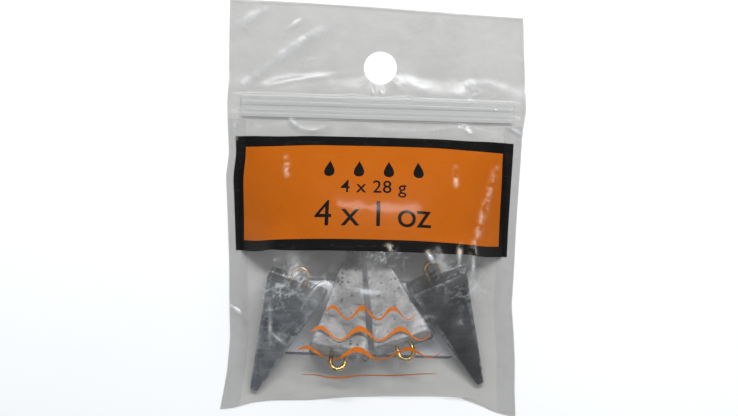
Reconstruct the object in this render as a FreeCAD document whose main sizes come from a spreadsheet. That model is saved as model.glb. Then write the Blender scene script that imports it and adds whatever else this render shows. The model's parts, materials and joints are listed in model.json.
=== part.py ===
import FreeCAD, Part
import math
import os
import Sketcher
from FreeCAD import Placement, Rotation, Vector

# A press-to-close hang bag that holds four pyramid sinkers, lying on its back.
#
# Frame: +X to the right, +Y from the folded bottom edge up to the hang hole, +Z out of the front film.
# The origin is under the middle of the bag's box, on the surface that it lies on.
# A pyramid lies on one side face, so its upper face slopes and its square base leans towards the tip.

SIZES = [
    ("bag_width", 76.2, "flat width, across the zipper"),
    ("bag_length", 104.4, "fold corner to the top edge, on the left"),
    ("top_skew", 2.9, "how much lower the top edge ends on the right"),
    ("corner_inset", 0.7, "how far each bottom corner is drawn in"),
    ("side_sag", 1.5, "depth of the curve along each side"),
    ("fold_sag", 3.4, "how far the middle of the fold is drawn up"),
    ("film_gauge", 0.15, "thickness of one film"),
    ("weld_width", 3.3, "width of a side weld"),
    ("weld_gap", 0.25, "from a weld to the front film's foot"),
    ("hole_radius", 4.2, "hang hole"),
    ("hole_shift", 0.5, "hang hole, right of the middle"),
    ("hole_drop", 16.6, "top edge to the hang hole's centre"),
    ("zipper_drop", 27.0, "top edge to the middle of the zipper strips"),
    ("zipper_width", 5.8, "width of each zipper strip"),
    ("zipper_inset", 3.6, "from the bag's side to a strip's end"),
    ("strip_gauge", 0.2, "thickness of a zipper strip"),
    ("profile_rise", 1.3, "strip's middle to the bead's centre line"),
    ("bead_width", 0.9, "closing bead, along the bag"),
    ("bead_height", 0.75, "closing bead, below its strip"),
    ("rail_width", 0.6, "each rail of the groove"),
    ("rail_height", 0.8, "each rail, above its strip"),
    ("bead_clearance", 0.15, "bead to the rail on the pouch side, and rails to the upper strip"),
    ("bead_swing", 0.45, "bead to the rail on the mouth side, where it swings out"),
    ("mouth_drop", 6.8, "middle of the strips to the line where the lip hinges"),
    ("mouth_height", 4.65, "film's rise over the back film at that line"),
    ("mouth_slit", 0.15, "from that line to the film on each side of it"),
    ("shoulder_gap", 0.3, "zipper strip to the welds' upper ends"),
    ("lead_base", 15.2, "side of a pyramid's square base"),
    ("lead_tip", 2.0, "side of its blunt tip"),
    ("lead_height", 30.0, "base to tip, along its axis"),
    ("lead_round", 0.5, "radius of its long edges and its base's edges"),
    ("lead_lift", 0.1, "pyramid to the back film"),
    ("lead_gap", 0.7, "between neighbouring pyramids, seen from above"),
    ("seam_lean", 6.6, "lean of the gap between the middle pair, in degrees"),
    ("seam_shift", 0.2, "that gap's lower end, right of the middle"),
    ("tip_room", 1.6, "lowest sinker to the fold"),
    ("pair_step", 0.9, "how much higher the right one of the middle pair lies"),
    ("left_along", 13.8, "where the left one's corner lies along its neighbour's side"),
    ("left_splay", 1.0, "turn of the left one's axis from that side, in degrees"),
    ("right_along", 12.6, "where the right one's corner lies along its neighbour's side"),
    ("right_splay", 8.9, "turn of the right one's axis from that side, in degrees"),
    ("wire_radius", 0.55, "eye wire"),
    ("loop_half", 1.85, "half the distance between the eye's legs"),
    ("loop_reach", 2.4, "base to the centre of the eye's round end"),
    ("leg_depth", 6.0, "how deep the legs are cast in"),
    ("foot_bend", 1.0, "radius of the bend at the end of each leg"),
    ("foot_length", 1.0, "straight foot after that bend"),
    ("head_room", 0.35, "highest lead edge to the front film"),
    ("side_room", 0.5, "beside each lead's upper face, to the film"),
    ("slide_back", 2.2, "room for a sinker to shift base first"),
    ("slide_ahead", 0.6, "room for it to shift tip first"),
    ("film_bow", 8.0, "how far the air bows a free span half as wide as the bag"),
    ("fold_height", 1.2, "height of the film's bend at the fold"),
    ("ink_gauge", 0.08, "thickness of the print"),
    ("label_gap", 1.1, "mouth line to the label"),
    ("label_height", 29.0, "label, over its border"),
    ("label_margin", 2.6, "bag's side to the label"),
    ("border_width", 2.6, "label's border"),
    ("mark_pitch", 8.4, "spacing of the row of drops on the label"),
    ("mark_width", 3.2, "one drop"),
    ("mark_height", 3.8, "one drop"),
    ("mark_rise", 6.4, "label's middle to the row of drops"),
    ("short_bar", 19.6, "length of the label's middle bar"),
    ("short_rise", 1.4, "label's middle to that bar"),
    ("long_bar", 27.0, "length of the label's lower bar"),
    ("long_drop", 4.6, "label's middle down to that bar"),
    ("bar_height", 2.6, "both bars"),
    ("print_rise", 6.8, "fold to the rule of the print on the pouch"),
    ("print_width", 34.0, "that rule and the lowest wave"),
    ("line_width", 0.7, "that print's lines"),
    ("wave_height", 2.2, "its waves, crest to trough"),
    ("wave_step", 5.2, "from one wave to the next"),
    ("wave_trim", 6.8, "how much shorter each wave is than the one below it"),
    ("sticker_width", 45.0, "back sticker"),
    ("sticker_height", 19.5, "back sticker"),
    ("sticker_round", 2.5, "its corner radius"),
    ("sticker_gauge", 0.1, "its thickness"),
    ("sticker_rise", 11.0, "fold to its lower edge"),
    ("sticker_shift", -0.7, "its middle, right of the bag's"),
]

LEADS = ("left", "mid_left", "mid_right", "right")
PRINTED_WAVES = 3
CRESTS_PER_WAVE = 3
POINTS_PER_CREST = 12

doc = FreeCAD.newDocument("sinker_pack")
sheet = doc.addObject("Spreadsheet::Sheet", "Sizes")
for row, (alias, number, note) in enumerate(SIZES, start=1):
    sheet.set(f"A{row}", alias)
    sheet.set(f"B{row}", str(number))
    sheet.setAlias(f"B{row}", alias)
    sheet.set(f"C{row}", note)
doc.recompute()


def size(alias):
    """A driving dimension, read from the sheet."""
    return float(getattr(sheet, alias))


def value(expression):
    """The number that an expression over the sheet gives."""
    return float(sheet.evalExpression(expression))


# Levels and lines that several pieces share, as expressions over the sheet.
TOP = "Sizes.bag_length / 2"
FOLD_CORNER = "-Sizes.bag_length / 2"
FOLD = "(Sizes.fold_sag - Sizes.bag_length / 2)"
HALF = "Sizes.bag_width / 2"
CORNER_X = "(Sizes.bag_width / 2 - Sizes.corner_inset)"
HOLE_Y = "(Sizes.bag_length / 2 - Sizes.hole_drop)"
ZIP_Y = "(Sizes.bag_length / 2 - Sizes.zipper_drop)"
SHOULDER = f"({ZIP_Y} - Sizes.zipper_width / 2 - Sizes.shoulder_gap)"
MOUTH = f"({ZIP_Y} - Sizes.mouth_drop)"
BACK_Z = "Sizes.sticker_gauge"
FLOOR = "(Sizes.sticker_gauge + Sizes.film_gauge)"
RAIL_Z = f"({FLOOR} + Sizes.strip_gauge)"
UPPER_STRIP_Z = f"({RAIL_Z} + Sizes.rail_height + Sizes.bead_clearance)"
LIP_Z = f"({UPPER_STRIP_Z} + Sizes.strip_gauge)"
SIDE_CHORD = f"hypot({HALF} - {CORNER_X}; {SHOULDER} + Sizes.bag_length / 2)"
SIDE_RADIUS = f"(pow({SIDE_CHORD}; 2) / 4 + pow(Sizes.side_sag; 2)) / (2 * Sizes.side_sag)"
FOLD_RADIUS = f"(pow({CORNER_X}; 2) + pow(Sizes.fold_sag; 2)) / (2 * Sizes.fold_sag)"
TAPER = "atan((Sizes.lead_base - Sizes.lead_tip) / 2 / Sizes.lead_height)"
STRIP_LENGTH = "(Sizes.bag_width - 2 * Sizes.zipper_inset)"
STRIP_LEFT = f"(Sizes.zipper_inset - {HALF})"
STRIP_LOW = f"({ZIP_Y} - Sizes.zipper_width / 2)"
STRIP = (STRIP_LENGTH, "Sizes.zipper_width", "Sizes.strip_gauge")


def origin_plane(body, role):
    """One of a body's own origin planes."""
    return next(o for o in body.Origin.OriginFeatures if o.Role == role)


def new_body(name):
    """An empty body whose label names its file."""
    body = doc.addObject("PartDesign::Body", name)
    body.Label = name
    return body


def new_sketch(body, name, role="XY_Plane", offset=None):
    """A sketch on one of the body's planes; offset is an expression for its height."""
    sketch = body.newObject("Sketcher::SketchObject", name)
    sketch.AttachmentSupport = [(origin_plane(body, role), "")]
    sketch.MapMode = "FlatFace"
    if offset is not None:
        sketch.setExpression("AttachmentOffset.Base.z", offset)
    return sketch


def drive(sketch, constraint, expression):
    """Add a constraint and bind its number to an expression."""
    index = sketch.addConstraint(constraint)
    sketch.setExpression(f"Constraints[{index}]", expression)


def pin(sketch, geometry, end, across, up):
    """Hold a point of a sketch at two expressions, measured from the sketch's origin."""
    drive(sketch, Sketcher.Constraint("DistanceX", -1, 1, geometry, end, value(across)), across)
    drive(sketch, Sketcher.Constraint("DistanceY", -1, 1, geometry, end, value(up)), up)


def add_line(sketch, start, end):
    """A line between two points given as pairs of expressions."""
    a, b = (Vector(value(x), value(y), 0) for x, y in (start, end))
    line = sketch.addGeometry(Part.LineSegment(a, b), False)
    pin(sketch, line, 1, *start)
    pin(sketch, line, 2, *end)
    return line


def add_arc(sketch, start, end, radius, bulge):
    """An arc through two pinned points. bulge is +1 where it swells to the left of start to end."""
    a, b = (Vector(value(x), value(y), 0) for x, y in (start, end))
    reach = value(radius)
    chord = b - a
    left = Vector(-chord.y, chord.x, 0).normalize()
    sag = reach - math.sqrt(reach**2 - (chord.Length / 2) ** 2)
    middle = (a + b) / 2 + left * sag * bulge
    arc = sketch.addGeometry(Part.Arc(a, middle, b), False)
    first_is_a = sketch.getPoint(arc, 1).distanceToPoint(a) < sketch.getPoint(arc, 2).distanceToPoint(a)
    pin(sketch, arc, 1 if first_is_a else 2, *start)
    pin(sketch, arc, 2 if first_is_a else 1, *end)
    drive(sketch, Sketcher.Constraint("Radius", arc, reach), radius)
    return arc


def add_pad(body, sketch, length, name="Pad"):
    """A pad upward from a sketch."""
    pad = body.newObject("PartDesign::Pad", name)
    pad.Profile = sketch
    pad.setExpression("Length", length)
    return pad


def add_box(name, corner, lengths):
    """A box from expressions for its low corner and its three lengths."""
    box = doc.addObject("Part::Box", name)
    for side, expression in zip(("Length", "Width", "Height"), lengths):
        box.setExpression(side, expression)
    for axis, expression in zip("xyz", corner):
        box.setExpression(f"Placement.Base.{axis}", expression)
    return box


def add_hole(body, name, depth, offset):
    """The hang hole, cut through a film from its upper face down."""
    sketch = new_sketch(body, f"{name}_circle", offset=offset)
    centre = Vector(value("Sizes.hole_shift"), value(HOLE_Y), 0)
    circle = sketch.addGeometry(Part.Circle(centre, Vector(0, 0, 1), size("hole_radius")), False)
    pin(sketch, circle, 3, "Sizes.hole_shift", HOLE_Y)
    drive(sketch, Sketcher.Constraint("Radius", circle, size("hole_radius")), "Sizes.hole_radius")
    pocket = body.newObject("PartDesign::Pocket", name)
    pocket.Profile = sketch
    pocket.setExpression("Length", depth)
    return pocket


# ---------------------------------------------------------------- bag: flat films, welds and zipper


def add_header_edges(sketch, low_y):
    """The straight sides and the slanting top edge above low_y."""
    right_top = f"({TOP} - Sizes.top_skew)"
    add_line(sketch, (HALF, low_y), (HALF, right_top))
    add_line(sketch, (HALF, right_top), (f"-({HALF})", TOP))
    add_line(sketch, (f"-({HALF})", TOP), (f"-({HALF})", low_y))


def make_back_film():
    """The rear wall: its outline is drawn in at both sides and at the fold by what the bag holds."""
    body = new_body("back_film")
    sketch = new_sketch(body, "back_outline", offset=BACK_Z)
    add_header_edges(sketch, SHOULDER)
    left, right = f"-({HALF})", HALF
    left_corner, right_corner = f"-({CORNER_X})", CORNER_X
    add_arc(sketch, (left, SHOULDER), (left_corner, FOLD_CORNER), SIDE_RADIUS, +1)
    add_arc(sketch, (left_corner, FOLD_CORNER), (right_corner, FOLD_CORNER), FOLD_RADIUS, +1)
    add_arc(sketch, (right_corner, FOLD_CORNER), (right, SHOULDER), SIDE_RADIUS, +1)
    doc.recompute()
    add_pad(body, sketch, "Sizes.film_gauge")
    doc.recompute()
    add_hole(body, "back_hole", "Sizes.film_gauge", FLOOR)
    return body


def make_side_weld(side, name):
    """The fused edge of the front film along one side; side is -1 on the left and +1 on the right."""
    sign = "" if side > 0 else "-"
    outer_top, outer_low = f"{sign}({HALF})", f"{sign}({CORNER_X})"
    inner_top = f"{sign}({HALF} - Sizes.weld_width)"
    inner_low = f"{sign}({CORNER_X} - Sizes.weld_width)"
    body = new_body(name)
    sketch = new_sketch(body, f"{name}_outline", offset=FLOOR)
    add_arc(sketch, (outer_low, FOLD_CORNER), (outer_top, SHOULDER), SIDE_RADIUS, side)
    add_line(sketch, (outer_top, SHOULDER), (inner_top, SHOULDER))
    add_arc(sketch, (inner_low, FOLD), (inner_top, SHOULDER), SIDE_RADIUS, side)
    add_line(sketch, (inner_low, FOLD), (outer_low, FOLD_CORNER))
    doc.recompute()
    add_pad(body, sketch, "Sizes.film_gauge")
    return body


def make_zipper_groove():
    """The lower track: a strip with two rails that leave a groove for the bead."""
    profile = f"({ZIP_Y} + Sizes.profile_rise)"
    near_rail = f"{profile} - Sizes.bead_width / 2 - Sizes.bead_clearance - Sizes.rail_width"
    far_rail = f"{profile} + Sizes.bead_width / 2 + Sizes.bead_swing"
    strip = add_box("groove_strip", (STRIP_LEFT, STRIP_LOW, FLOOR), STRIP)
    rail = (STRIP_LENGTH, "Sizes.rail_width", "Sizes.rail_height")
    near = add_box("groove_near_rail", (STRIP_LEFT, near_rail, RAIL_Z), rail)
    far = add_box("groove_far_rail", (STRIP_LEFT, far_rail, RAIL_Z), rail)
    groove = doc.addObject("Part::MultiFuse", "zipper_groove")
    groove.Shapes = [strip, near, far]
    return groove


def make_zipper_bead():
    """The upper track: a strip under the front lip with the bead that the groove holds."""
    bead_y = f"({ZIP_Y} + Sizes.profile_rise - Sizes.bead_width / 2)"
    strip = add_box("bead_strip", (STRIP_LEFT, STRIP_LOW, UPPER_STRIP_Z), STRIP)
    corner = (STRIP_LEFT, bead_y, f"({UPPER_STRIP_Z} - Sizes.bead_height)")
    rib = add_box("bead_rib", corner, (STRIP_LENGTH, "Sizes.bead_width", "Sizes.bead_height"))
    bead = doc.addObject("Part::MultiFuse", "zipper_bead")
    bead.Shapes = [strip, rib]
    return bead


def is_upright(edge):
    """Whether a straight edge runs along Z."""
    first, last = edge.Vertexes
    return abs(first.Z - last.Z) > edge.Length / 2


def make_back_sticker():
    """The blank rounded sticker on the outside of the back film."""
    body = new_body("back_sticker")
    sketch = new_sketch(body, "sticker_outline")
    left = "(Sizes.sticker_shift - Sizes.sticker_width / 2)"
    right = "(Sizes.sticker_shift + Sizes.sticker_width / 2)"
    low = f"({FOLD} + Sizes.sticker_rise)"
    high = f"({FOLD} + Sizes.sticker_rise + Sizes.sticker_height)"
    add_line(sketch, (left, low), (right, low))
    add_line(sketch, (right, low), (right, high))
    add_line(sketch, (right, high), (left, high))
    add_line(sketch, (left, high), (left, low))
    doc.recompute()
    pad = add_pad(body, sketch, "Sizes.sticker_gauge")
    doc.recompute()
    upright = [f"Edge{i}" for i, edge in enumerate(pad.Shape.Edges, 1) if is_upright(edge)]
    rounding = body.newObject("PartDesign::Fillet", "sticker_corners")
    rounding.Base = (pad, upright)
    rounding.setExpression("Radius", "Sizes.sticker_round")
    return body


# ---------------------------------------------------------------- contents: where each pyramid lies


def heading(degrees):
    """The unit vector on the floor that points this many degrees anticlockwise from +X."""
    return Vector(math.cos(math.radians(degrees)), math.sin(math.radians(degrees)), 0)


def right_of(way):
    """The unit vector to the right of one on the floor."""
    return Vector(way.y, -way.x, 0)


class Lying:
    """A pyramid on its side face: plan positions of its corners from its base's middle and heading."""

    taper = math.radians(value(TAPER))
    lean = size("lead_base") * math.sin(taper)
    half = size("lead_base") / 2
    face = size("lead_height") / math.cos(taper)
    top_run = face + size("lead_tip") * math.sin(taper) - lean
    flank = math.degrees(math.atan((size("lead_base") - size("lead_tip")) / 2 / top_run))

    def __init__(self, degrees):
        self.degrees = degrees
        self.way = heading(degrees)
        self.base = Vector()

    def floor_corner(self, side):
        """The base's lower corner; side is +1 to the right of the way to the tip."""
        return self.base + right_of(self.way) * self.half * side

    def top_corner(self, side):
        """The base's upper corner, which overhangs towards the tip."""
        return self.floor_corner(side) + self.way * self.lean

    def flank_way(self, side):
        """The way along the upper face's side edge, from base to tip."""
        return heading(self.degrees + self.flank * side)

    def put_top_corner(self, side, place):
        """Move the pyramid so that an upper corner is at a place."""
        self.base += place - self.top_corner(side)

    def put_floor_corner(self, side, place):
        """Move the pyramid so that a lower corner is at a place."""
        self.base += place - self.floor_corner(side)

    def lowest(self):
        """How far down the bag it reaches, with its tip or with its eye."""
        tip = self.base + self.way * self.face
        side = right_of(self.way) * (size("lead_tip") / 2)
        loop = size("loop_reach") + size("loop_half") + size("wire_radius")
        end = self.placement().multVec(Vector(0, 0, -loop))
        return min((tip + side).y, (tip - side).y, end.y)

    def placement(self):
        """From the pyramid's own frame, base in XY and tip up +Z, to where it lies."""
        down, flat = math.sin(self.taper), math.cos(self.taper)
        axis = self.way * flat - Vector(0, 0, down)
        upper = self.way * down + Vector(0, 0, flat)
        lift = value(FLOOR) + size("lead_lift")
        middle = self.base + upper * self.half + Vector(0, 0, lift)
        return Placement(middle, Rotation(upper.cross(axis), upper, axis))


def lay_out():
    """The four pyramids. The middle pair share a leaning gap, and each outer one nestles on a flank."""
    gap = size("lead_gap")
    lean = 90 + size("seam_lean")
    seam = heading(lean)
    foot = Vector(size("seam_shift"), 0, 0)
    mid_left = Lying(lean - Lying.flank)
    mid_left.put_top_corner(+1, foot - right_of(seam) * gap / 2)
    mid_right = Lying(lean + Lying.flank)
    mid_right.put_top_corner(-1, foot + right_of(seam) * gap / 2 + seam * size("pair_step"))
    left = Lying(mid_left.degrees - Lying.flank + 180 - size("left_splay"))
    flank = mid_left.flank_way(-1)
    beside = mid_left.top_corner(-1) + flank * size("left_along") - right_of(flank) * gap
    left.put_floor_corner(-1, beside)
    right = Lying(mid_right.degrees + Lying.flank - 180 - size("right_splay"))
    flank = mid_right.flank_way(+1)
    beside = mid_right.top_corner(+1) + flank * size("right_along") + right_of(flank) * gap
    right.put_floor_corner(+1, beside)
    pile = (left, mid_left, mid_right, right)
    rise = value(FOLD) + size("tip_room") - min(lying.lowest() for lying in pile)
    for lying in pile:
        lying.base.y += rise
    return dict(zip(LEADS, pile))


def make_eye(name, place):
    """A brass wire eye: a round end outside the base, and two legs with turned-out feet cast in."""
    body = new_body(name)
    path = new_sketch(body, f"{name}_path", "XZ_Plane")
    legs, depth, bend = "Sizes.loop_half", "Sizes.leg_depth", "Sizes.foot_bend"
    knee, toe = f"({legs} + {bend})", f"({legs} + {bend} + Sizes.foot_length)"
    low = "-Sizes.loop_reach"
    add_line(path, (f"-{toe}", depth), (f"-{knee}", depth))
    add_arc(path, (f"-{knee}", depth), (f"-{legs}", f"{depth} - {bend}"), bend, +1)
    add_line(path, (f"-{legs}", f"{depth} - {bend}"), (f"-{legs}", low))
    half_turn = path.addGeometry(
        Part.Arc(
            Vector(-value(legs), value(low), 0),
            Vector(0, value(low) - value(legs), 0),
            Vector(value(legs), value(low), 0),
        ),
        False,
    )
    pin(path, half_turn, 3, "0", low)
    drive(path, Sketcher.Constraint("Radius", half_turn, value(legs)), legs)
    drive(path, Sketcher.Constraint("DistanceY", -1, 1, half_turn, 1, value(low)), low)
    drive(path, Sketcher.Constraint("DistanceY", -1, 1, half_turn, 2, value(low)), low)
    add_line(path, (legs, low), (legs, f"{depth} - {bend}"))
    add_arc(path, (legs, f"{depth} - {bend}"), (knee, depth), bend, +1)
    add_line(path, (knee, depth), (toe, depth))
    wire = new_sketch(body, f"{name}_wire", "YZ_Plane", offset=f"-{toe}")
    radius = size("wire_radius")
    circle = wire.addGeometry(Part.Circle(Vector(0, value(depth), 0), Vector(0, 0, 1), radius), False)
    pin(wire, circle, 3, "0", depth)
    drive(wire, Sketcher.Constraint("Radius", circle, radius), "Sizes.wire_radius")
    doc.recompute()
    pipe = body.newObject("PartDesign::AdditivePipe", f"{name}_pipe")
    pipe.Profile = wire
    pipe.Spine = path
    pipe.Transition = "Transformed"
    body.Placement = place
    return body


def make_lead(name, place, eye):
    """A cast lead pyramid with rounded edges, and the room that the eye's legs take in it."""
    body = new_body(f"{name}_casting")
    sketch = new_sketch(body, f"{name}_base")
    half = "Sizes.lead_base / 2"
    corners = [(f"-{half}", f"-{half}"), (half, f"-{half}"), (half, half), (f"-{half}", half)]
    for start, end in zip(corners, corners[1:] + corners[:1]):
        add_line(sketch, start, end)
    doc.recompute()
    pad = add_pad(body, sketch, "Sizes.lead_height", f"{name}_pad")
    pad.setExpression("TaperAngle", f"-{TAPER}")
    doc.recompute()
    low = size("lead_tip") / 2 + size("lead_round")
    long_edges = [
        f"Edge{i}"
        for i, edge in enumerate(pad.Shape.Edges, 1)
        if max(abs(edge.Vertexes[0].X), abs(edge.Vertexes[-1].X)) > low
    ]
    rounding = body.newObject("PartDesign::Fillet", f"{name}_edges")
    rounding.Base = (pad, long_edges)
    rounding.setExpression("Radius", "Sizes.lead_round")
    body.Placement = place
    lead = doc.addObject("Part::Cut", name)
    lead.Base = body
    lead.Tool = eye
    return lead


# ---------------------------------------------------------------- bag: the puffed front and its print


def weld_edge(along):
    """Half the clear width between the welds at a place along the bag."""
    corner = Vector(value(CORNER_X), value(FOLD_CORNER), 0)
    shoulder = Vector(value(HALF), value(SHOULDER), 0)
    radius = value(SIDE_RADIUS)
    chord = shoulder - corner
    outward = Vector(chord.y, -chord.x, 0).normalize()
    centre = (corner + shoulder) / 2 + outward * math.sqrt(radius**2 - (chord.Length / 2) ** 2)
    edge = centre.x - math.sqrt(radius**2 - (along - centre.y) ** 2)
    return edge - size("weld_width") - size("weld_gap")


class Pouch:
    """The front film over the pile, as a net of knots between the welds, the fold and the mouth line.

    A free knot lies on the straight lines between its neighbours, bowed out by the air in the pouch.
    A knot is raised wherever the net would touch a sinker, over all of the room the sinker has to shift."""

    COLUMN_SHARES = (0.6, 0.2)
    ARCH_SHARES = (1.0, 0.9, 0.8, 0.5, 0.2)
    HEEL_SHARES = (0.0, 0.13, 0.4, 0.7)
    CREST_STEPS = 6
    BROW_STEPS = 5
    SWEEPS = 150
    LIFTS = 60

    def __init__(self, leads):
        self.fold = value(FOLD)
        self.mouth = value(MOUTH) - size("mouth_slit")
        corners = [lead.top_corner(side) for lead in leads.values() for side in (-1, 1)]
        self.rows = self.places([corner.y for corner in corners])
        self.columns = self.shares([corner.x / weld_edge(corner.y) for corner in corners])
        pyramid = size("lead_base") * math.cos(Lying.taper)
        self.cap = size("lead_lift") + pyramid + size("head_room") + 1.5 * size("film_gauge")
        self.bow = 8 * size("film_bow") / (size("bag_width") / 2) ** 2
        self.knots = [[self.first_height(k, share) for share in self.columns] for k in range(len(self.rows))]
        props = [self.prop(place) for lying in leads.values() for place in self.held_up(lying)]
        for _ in range(self.SWEEPS):
            self.tighten()
            self.lift(props)
        for _ in range(self.LIFTS):
            self.lift(props)

    def places(self, corners):
        """The net's rows along the bag: close below and above the pile, and exactly at its two ends."""
        room = size("slide_back") + size("side_room")
        heel, brow = min(corners) - room, max(corners) + room
        below = [self.fold + (heel - self.fold) * share for share in self.HEEL_SHARES]
        over = [heel + (brow - heel) * i / self.CREST_STEPS for i in range(self.CREST_STEPS)]
        above = [brow + (self.mouth - brow) * i / self.BROW_STEPS for i in range(self.BROW_STEPS + 1)]
        return below + over + above

    def shares(self, corners):
        """The net's columns as shares of the way to a weld, with one on each side of the bag beside the pile."""
        room = size("side_room") / weld_edge(self.rows[-1])
        left, right = min(corners) - room, max(corners) + room
        inner = [left * share for share in self.COLUMN_SHARES] + [right * share for share in self.COLUMN_SHARES[::-1]]
        return [-1.0, (left - 1) / 2, left] + inner + [right, (right + 1) / 2, 1.0]

    def first_height(self, k, share):
        """A knot's height over the back film before the net is tightened; those on its border keep it."""
        if k == 0:
            return size("fold_height") if abs(share) < 1 else 0.0
        return size("mouth_height") * (1 - abs(share) ** 3)

    def held_up(self, lying):
        """Places over the pyramid's upper face, grown by the rooms around it, at both ends of its shift and between."""
        ahead = 1 if lying.way.y > 0 else -1
        half, shrink = size("lead_base") / 2, math.tan(lying.taper)
        for shift in (-size("slide_back"), -size("slide_back") / 2, 0.0, size("slide_ahead")):
            for i in range(7):
                along = size("lead_height") * i / 6
                for share in (-1, -0.5, 0, 0.5, 1):
                    spread = half - along * shrink
                    end = size("side_room") if i == 0 else 0.0
                    across = share * (spread + size("side_room"))
                    yield lying.placement().multVec(Vector(across, spread, along - end)) + Vector(0, ahead * shift, 0)

    def prop(self, place):
        """The four knots around a place, their shares of the height there, and the height they have to give."""
        k = max(i for i in range(len(self.rows) - 1) if self.rows[i] <= max(place.y, self.rows[0]))
        up = min(1.0, max(0.0, (place.y - self.rows[k]) / (self.rows[k + 1] - self.rows[k])))
        share = place.x / weld_edge(place.y)
        i = max(j for j in range(len(self.columns) - 1) if self.columns[j] <= share)
        right = (share - self.columns[i]) / (self.columns[i + 1] - self.columns[i])
        corners = [(k, i, (1 - up) * (1 - right)), (k, i + 1, (1 - up) * right)]
        corners += [(k + 1, i, up * (1 - right)), (k + 1, i + 1, up * right)]
        height = place.z - value(FLOOR) + size("head_room") + size("film_gauge")
        return [corner for corner in corners if self.is_free(corner[0], corner[1])], corners, height

    def is_free(self, k, i):
        """Whether a knot is inside the net's border."""
        return 0 < k < len(self.rows) - 1 and 0 < i < len(self.columns) - 1

    def tighten(self):
        """Move each free knot to the balance of its two lines, as a film under even pressure lies."""
        for k in range(1, len(self.rows) - 1):
            edge = weld_edge(self.rows[k])
            low, high = self.rows[k] - self.rows[k - 1], self.rows[k + 1] - self.rows[k]
            for i in range(1, len(self.columns) - 1):
                left = (self.columns[i] - self.columns[i - 1]) * edge
                right = (self.columns[i + 1] - self.columns[i]) * edge
                row = (self.knots[k][i - 1] * right + self.knots[k][i + 1] * left) / (left + right)
                column = (self.knots[k - 1][i] * high + self.knots[k + 1][i] * low) / (low + high)
                pull = row / (left * right) + column / (low * high) + self.bow / 2
                self.knots[k][i] = min(self.cap, pull / (1 / (left * right) + 1 / (low * high)))

    def lift(self, props):
        """Raise the free knots around each place by the least that clears it."""
        for free, corners, height in props:
            lack = height - sum(self.knots[k][i] * share for k, i, share in corners)
            weight = sum(share * share for _, _, share in free)
            if lack > 0 and weight > 0:
                for k, i, share in free:
                    self.knots[k][i] = min(self.cap, self.knots[k][i] + lack * share / weight)

    def steepness(self, k, i):
        """How much longer an upright line through the film is than its gauge, where the film slopes most."""
        edge = weld_edge(self.rows[k])
        across = [(self.knots[k][j + 1] - self.knots[k][j]) / ((self.columns[j + 1] - self.columns[j]) * edge)
                  for j in (i - 1, i)]
        along = [(self.knots[j + 1][i] - self.knots[j][i]) / (self.rows[j + 1] - self.rows[j])
                 for j in (k - 1, k) if 0 <= j < len(self.rows) - 1]
        return math.sqrt(1 + max(slope**2 for slope in across) + max(slope**2 for slope in along))

    def section(self, k, inside, below):
        """The closed cross-section under the film; below is how far it reaches under the back film."""
        along = self.rows[k] + (inside if k == 0 else 0.0)
        edge, foot = weld_edge(along), value(FLOOR)
        points = []
        for i, share in enumerate(self.columns):
            if 0 < i < len(self.columns) - 1:
                drop = inside * (self.steepness(k, i) if 0 < k < len(self.rows) - 1 else 1.0)
                points.append(Vector(share * edge, along, foot + self.knots[k][i] - drop))
        for end, knot in ((0, 1), (-1, -2)):
            slope = self.knots[k][knot] / (edge * (1 - abs(self.columns[knot])))
            side = math.copysign(edge - inside * math.sqrt(1 + slope**2) / slope, self.columns[end])
            points.insert(0 if end == 0 else len(points), Vector(side, along, foot))
        if below > 0:
            points = [points[0] - Vector(0, 0, below)] + points + [points[-1] - Vector(0, 0, below)]
        return Part.makePolygon(points + points[:1])

    def mouth_arch(self, inside, foot):
        """The right half of the film's line at the mouth, from its foot up, as pairs across and up."""
        edge, rise = weld_edge(self.mouth) - inside, size("mouth_height") - inside - foot
        return [(share * edge, foot + rise * (1 - share**3)) for share in self.ARCH_SHARES]

    def solid(self, inside, below=0.0, past=0.0):
        """Everything under the film, its surface moved inwards, or outwards where inside is negative."""
        loops = [self.section(k, inside, below) for k in range(len(self.rows))]
        if past > 0:
            end = self.section(len(self.rows) - 1, inside, below)
            end.translate(Vector(0, past, 0))
            loops.append(end)
        return Part.makeLoft(loops, True, True)


def make_front_film(pouch):
    """The front wall of the pouch, closed at the fold and open at the mouth."""
    gauge = size("film_gauge")
    hollow = pouch.solid(gauge, below=gauge, past=gauge)
    film = doc.addObject("Part::Feature", "front_film")
    film.Shape = pouch.solid(0.0).cut(hollow)
    return film


def loop_of(outer, inner, along):
    """A thin sheet's closed cross-section from its right half: points across and up, out and in."""
    foot = value(FLOOR)
    right = [Vector(x, along, foot + z) for x, z in outer]
    left = [Vector(-x, along, foot + z) for x, z in reversed(outer)]
    back = [Vector(-x, along, foot + z) for x, z in inner]
    home = [Vector(x, along, foot + z) for x, z in reversed(inner)]
    points = right + left + back + home
    return Part.makePolygon(points + points[:1])


def make_lip_slope(pouch):
    """The film that slopes from the mouth line down to the level of the zipper."""
    gauge = size("film_gauge")
    start, end = value(MOUTH) + size("mouth_slit"), value(SHOULDER) + size("shoulder_gap")
    level = value(LIP_Z) - value(FLOOR)
    outer = pouch.mouth_arch(0.0, size("weld_gap"))
    inner = pouch.mouth_arch(gauge, size("weld_gap"))
    arch = loop_of(outer, inner, start)
    flat = loop_of([(x, level + gauge) for x, _ in outer], [(x, level) for x, _ in inner], end)
    slope = doc.addObject("Part::Feature", "lip_slope")
    slope.Shape = Part.makeLoft([arch, flat], True, True)
    return slope


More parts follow.
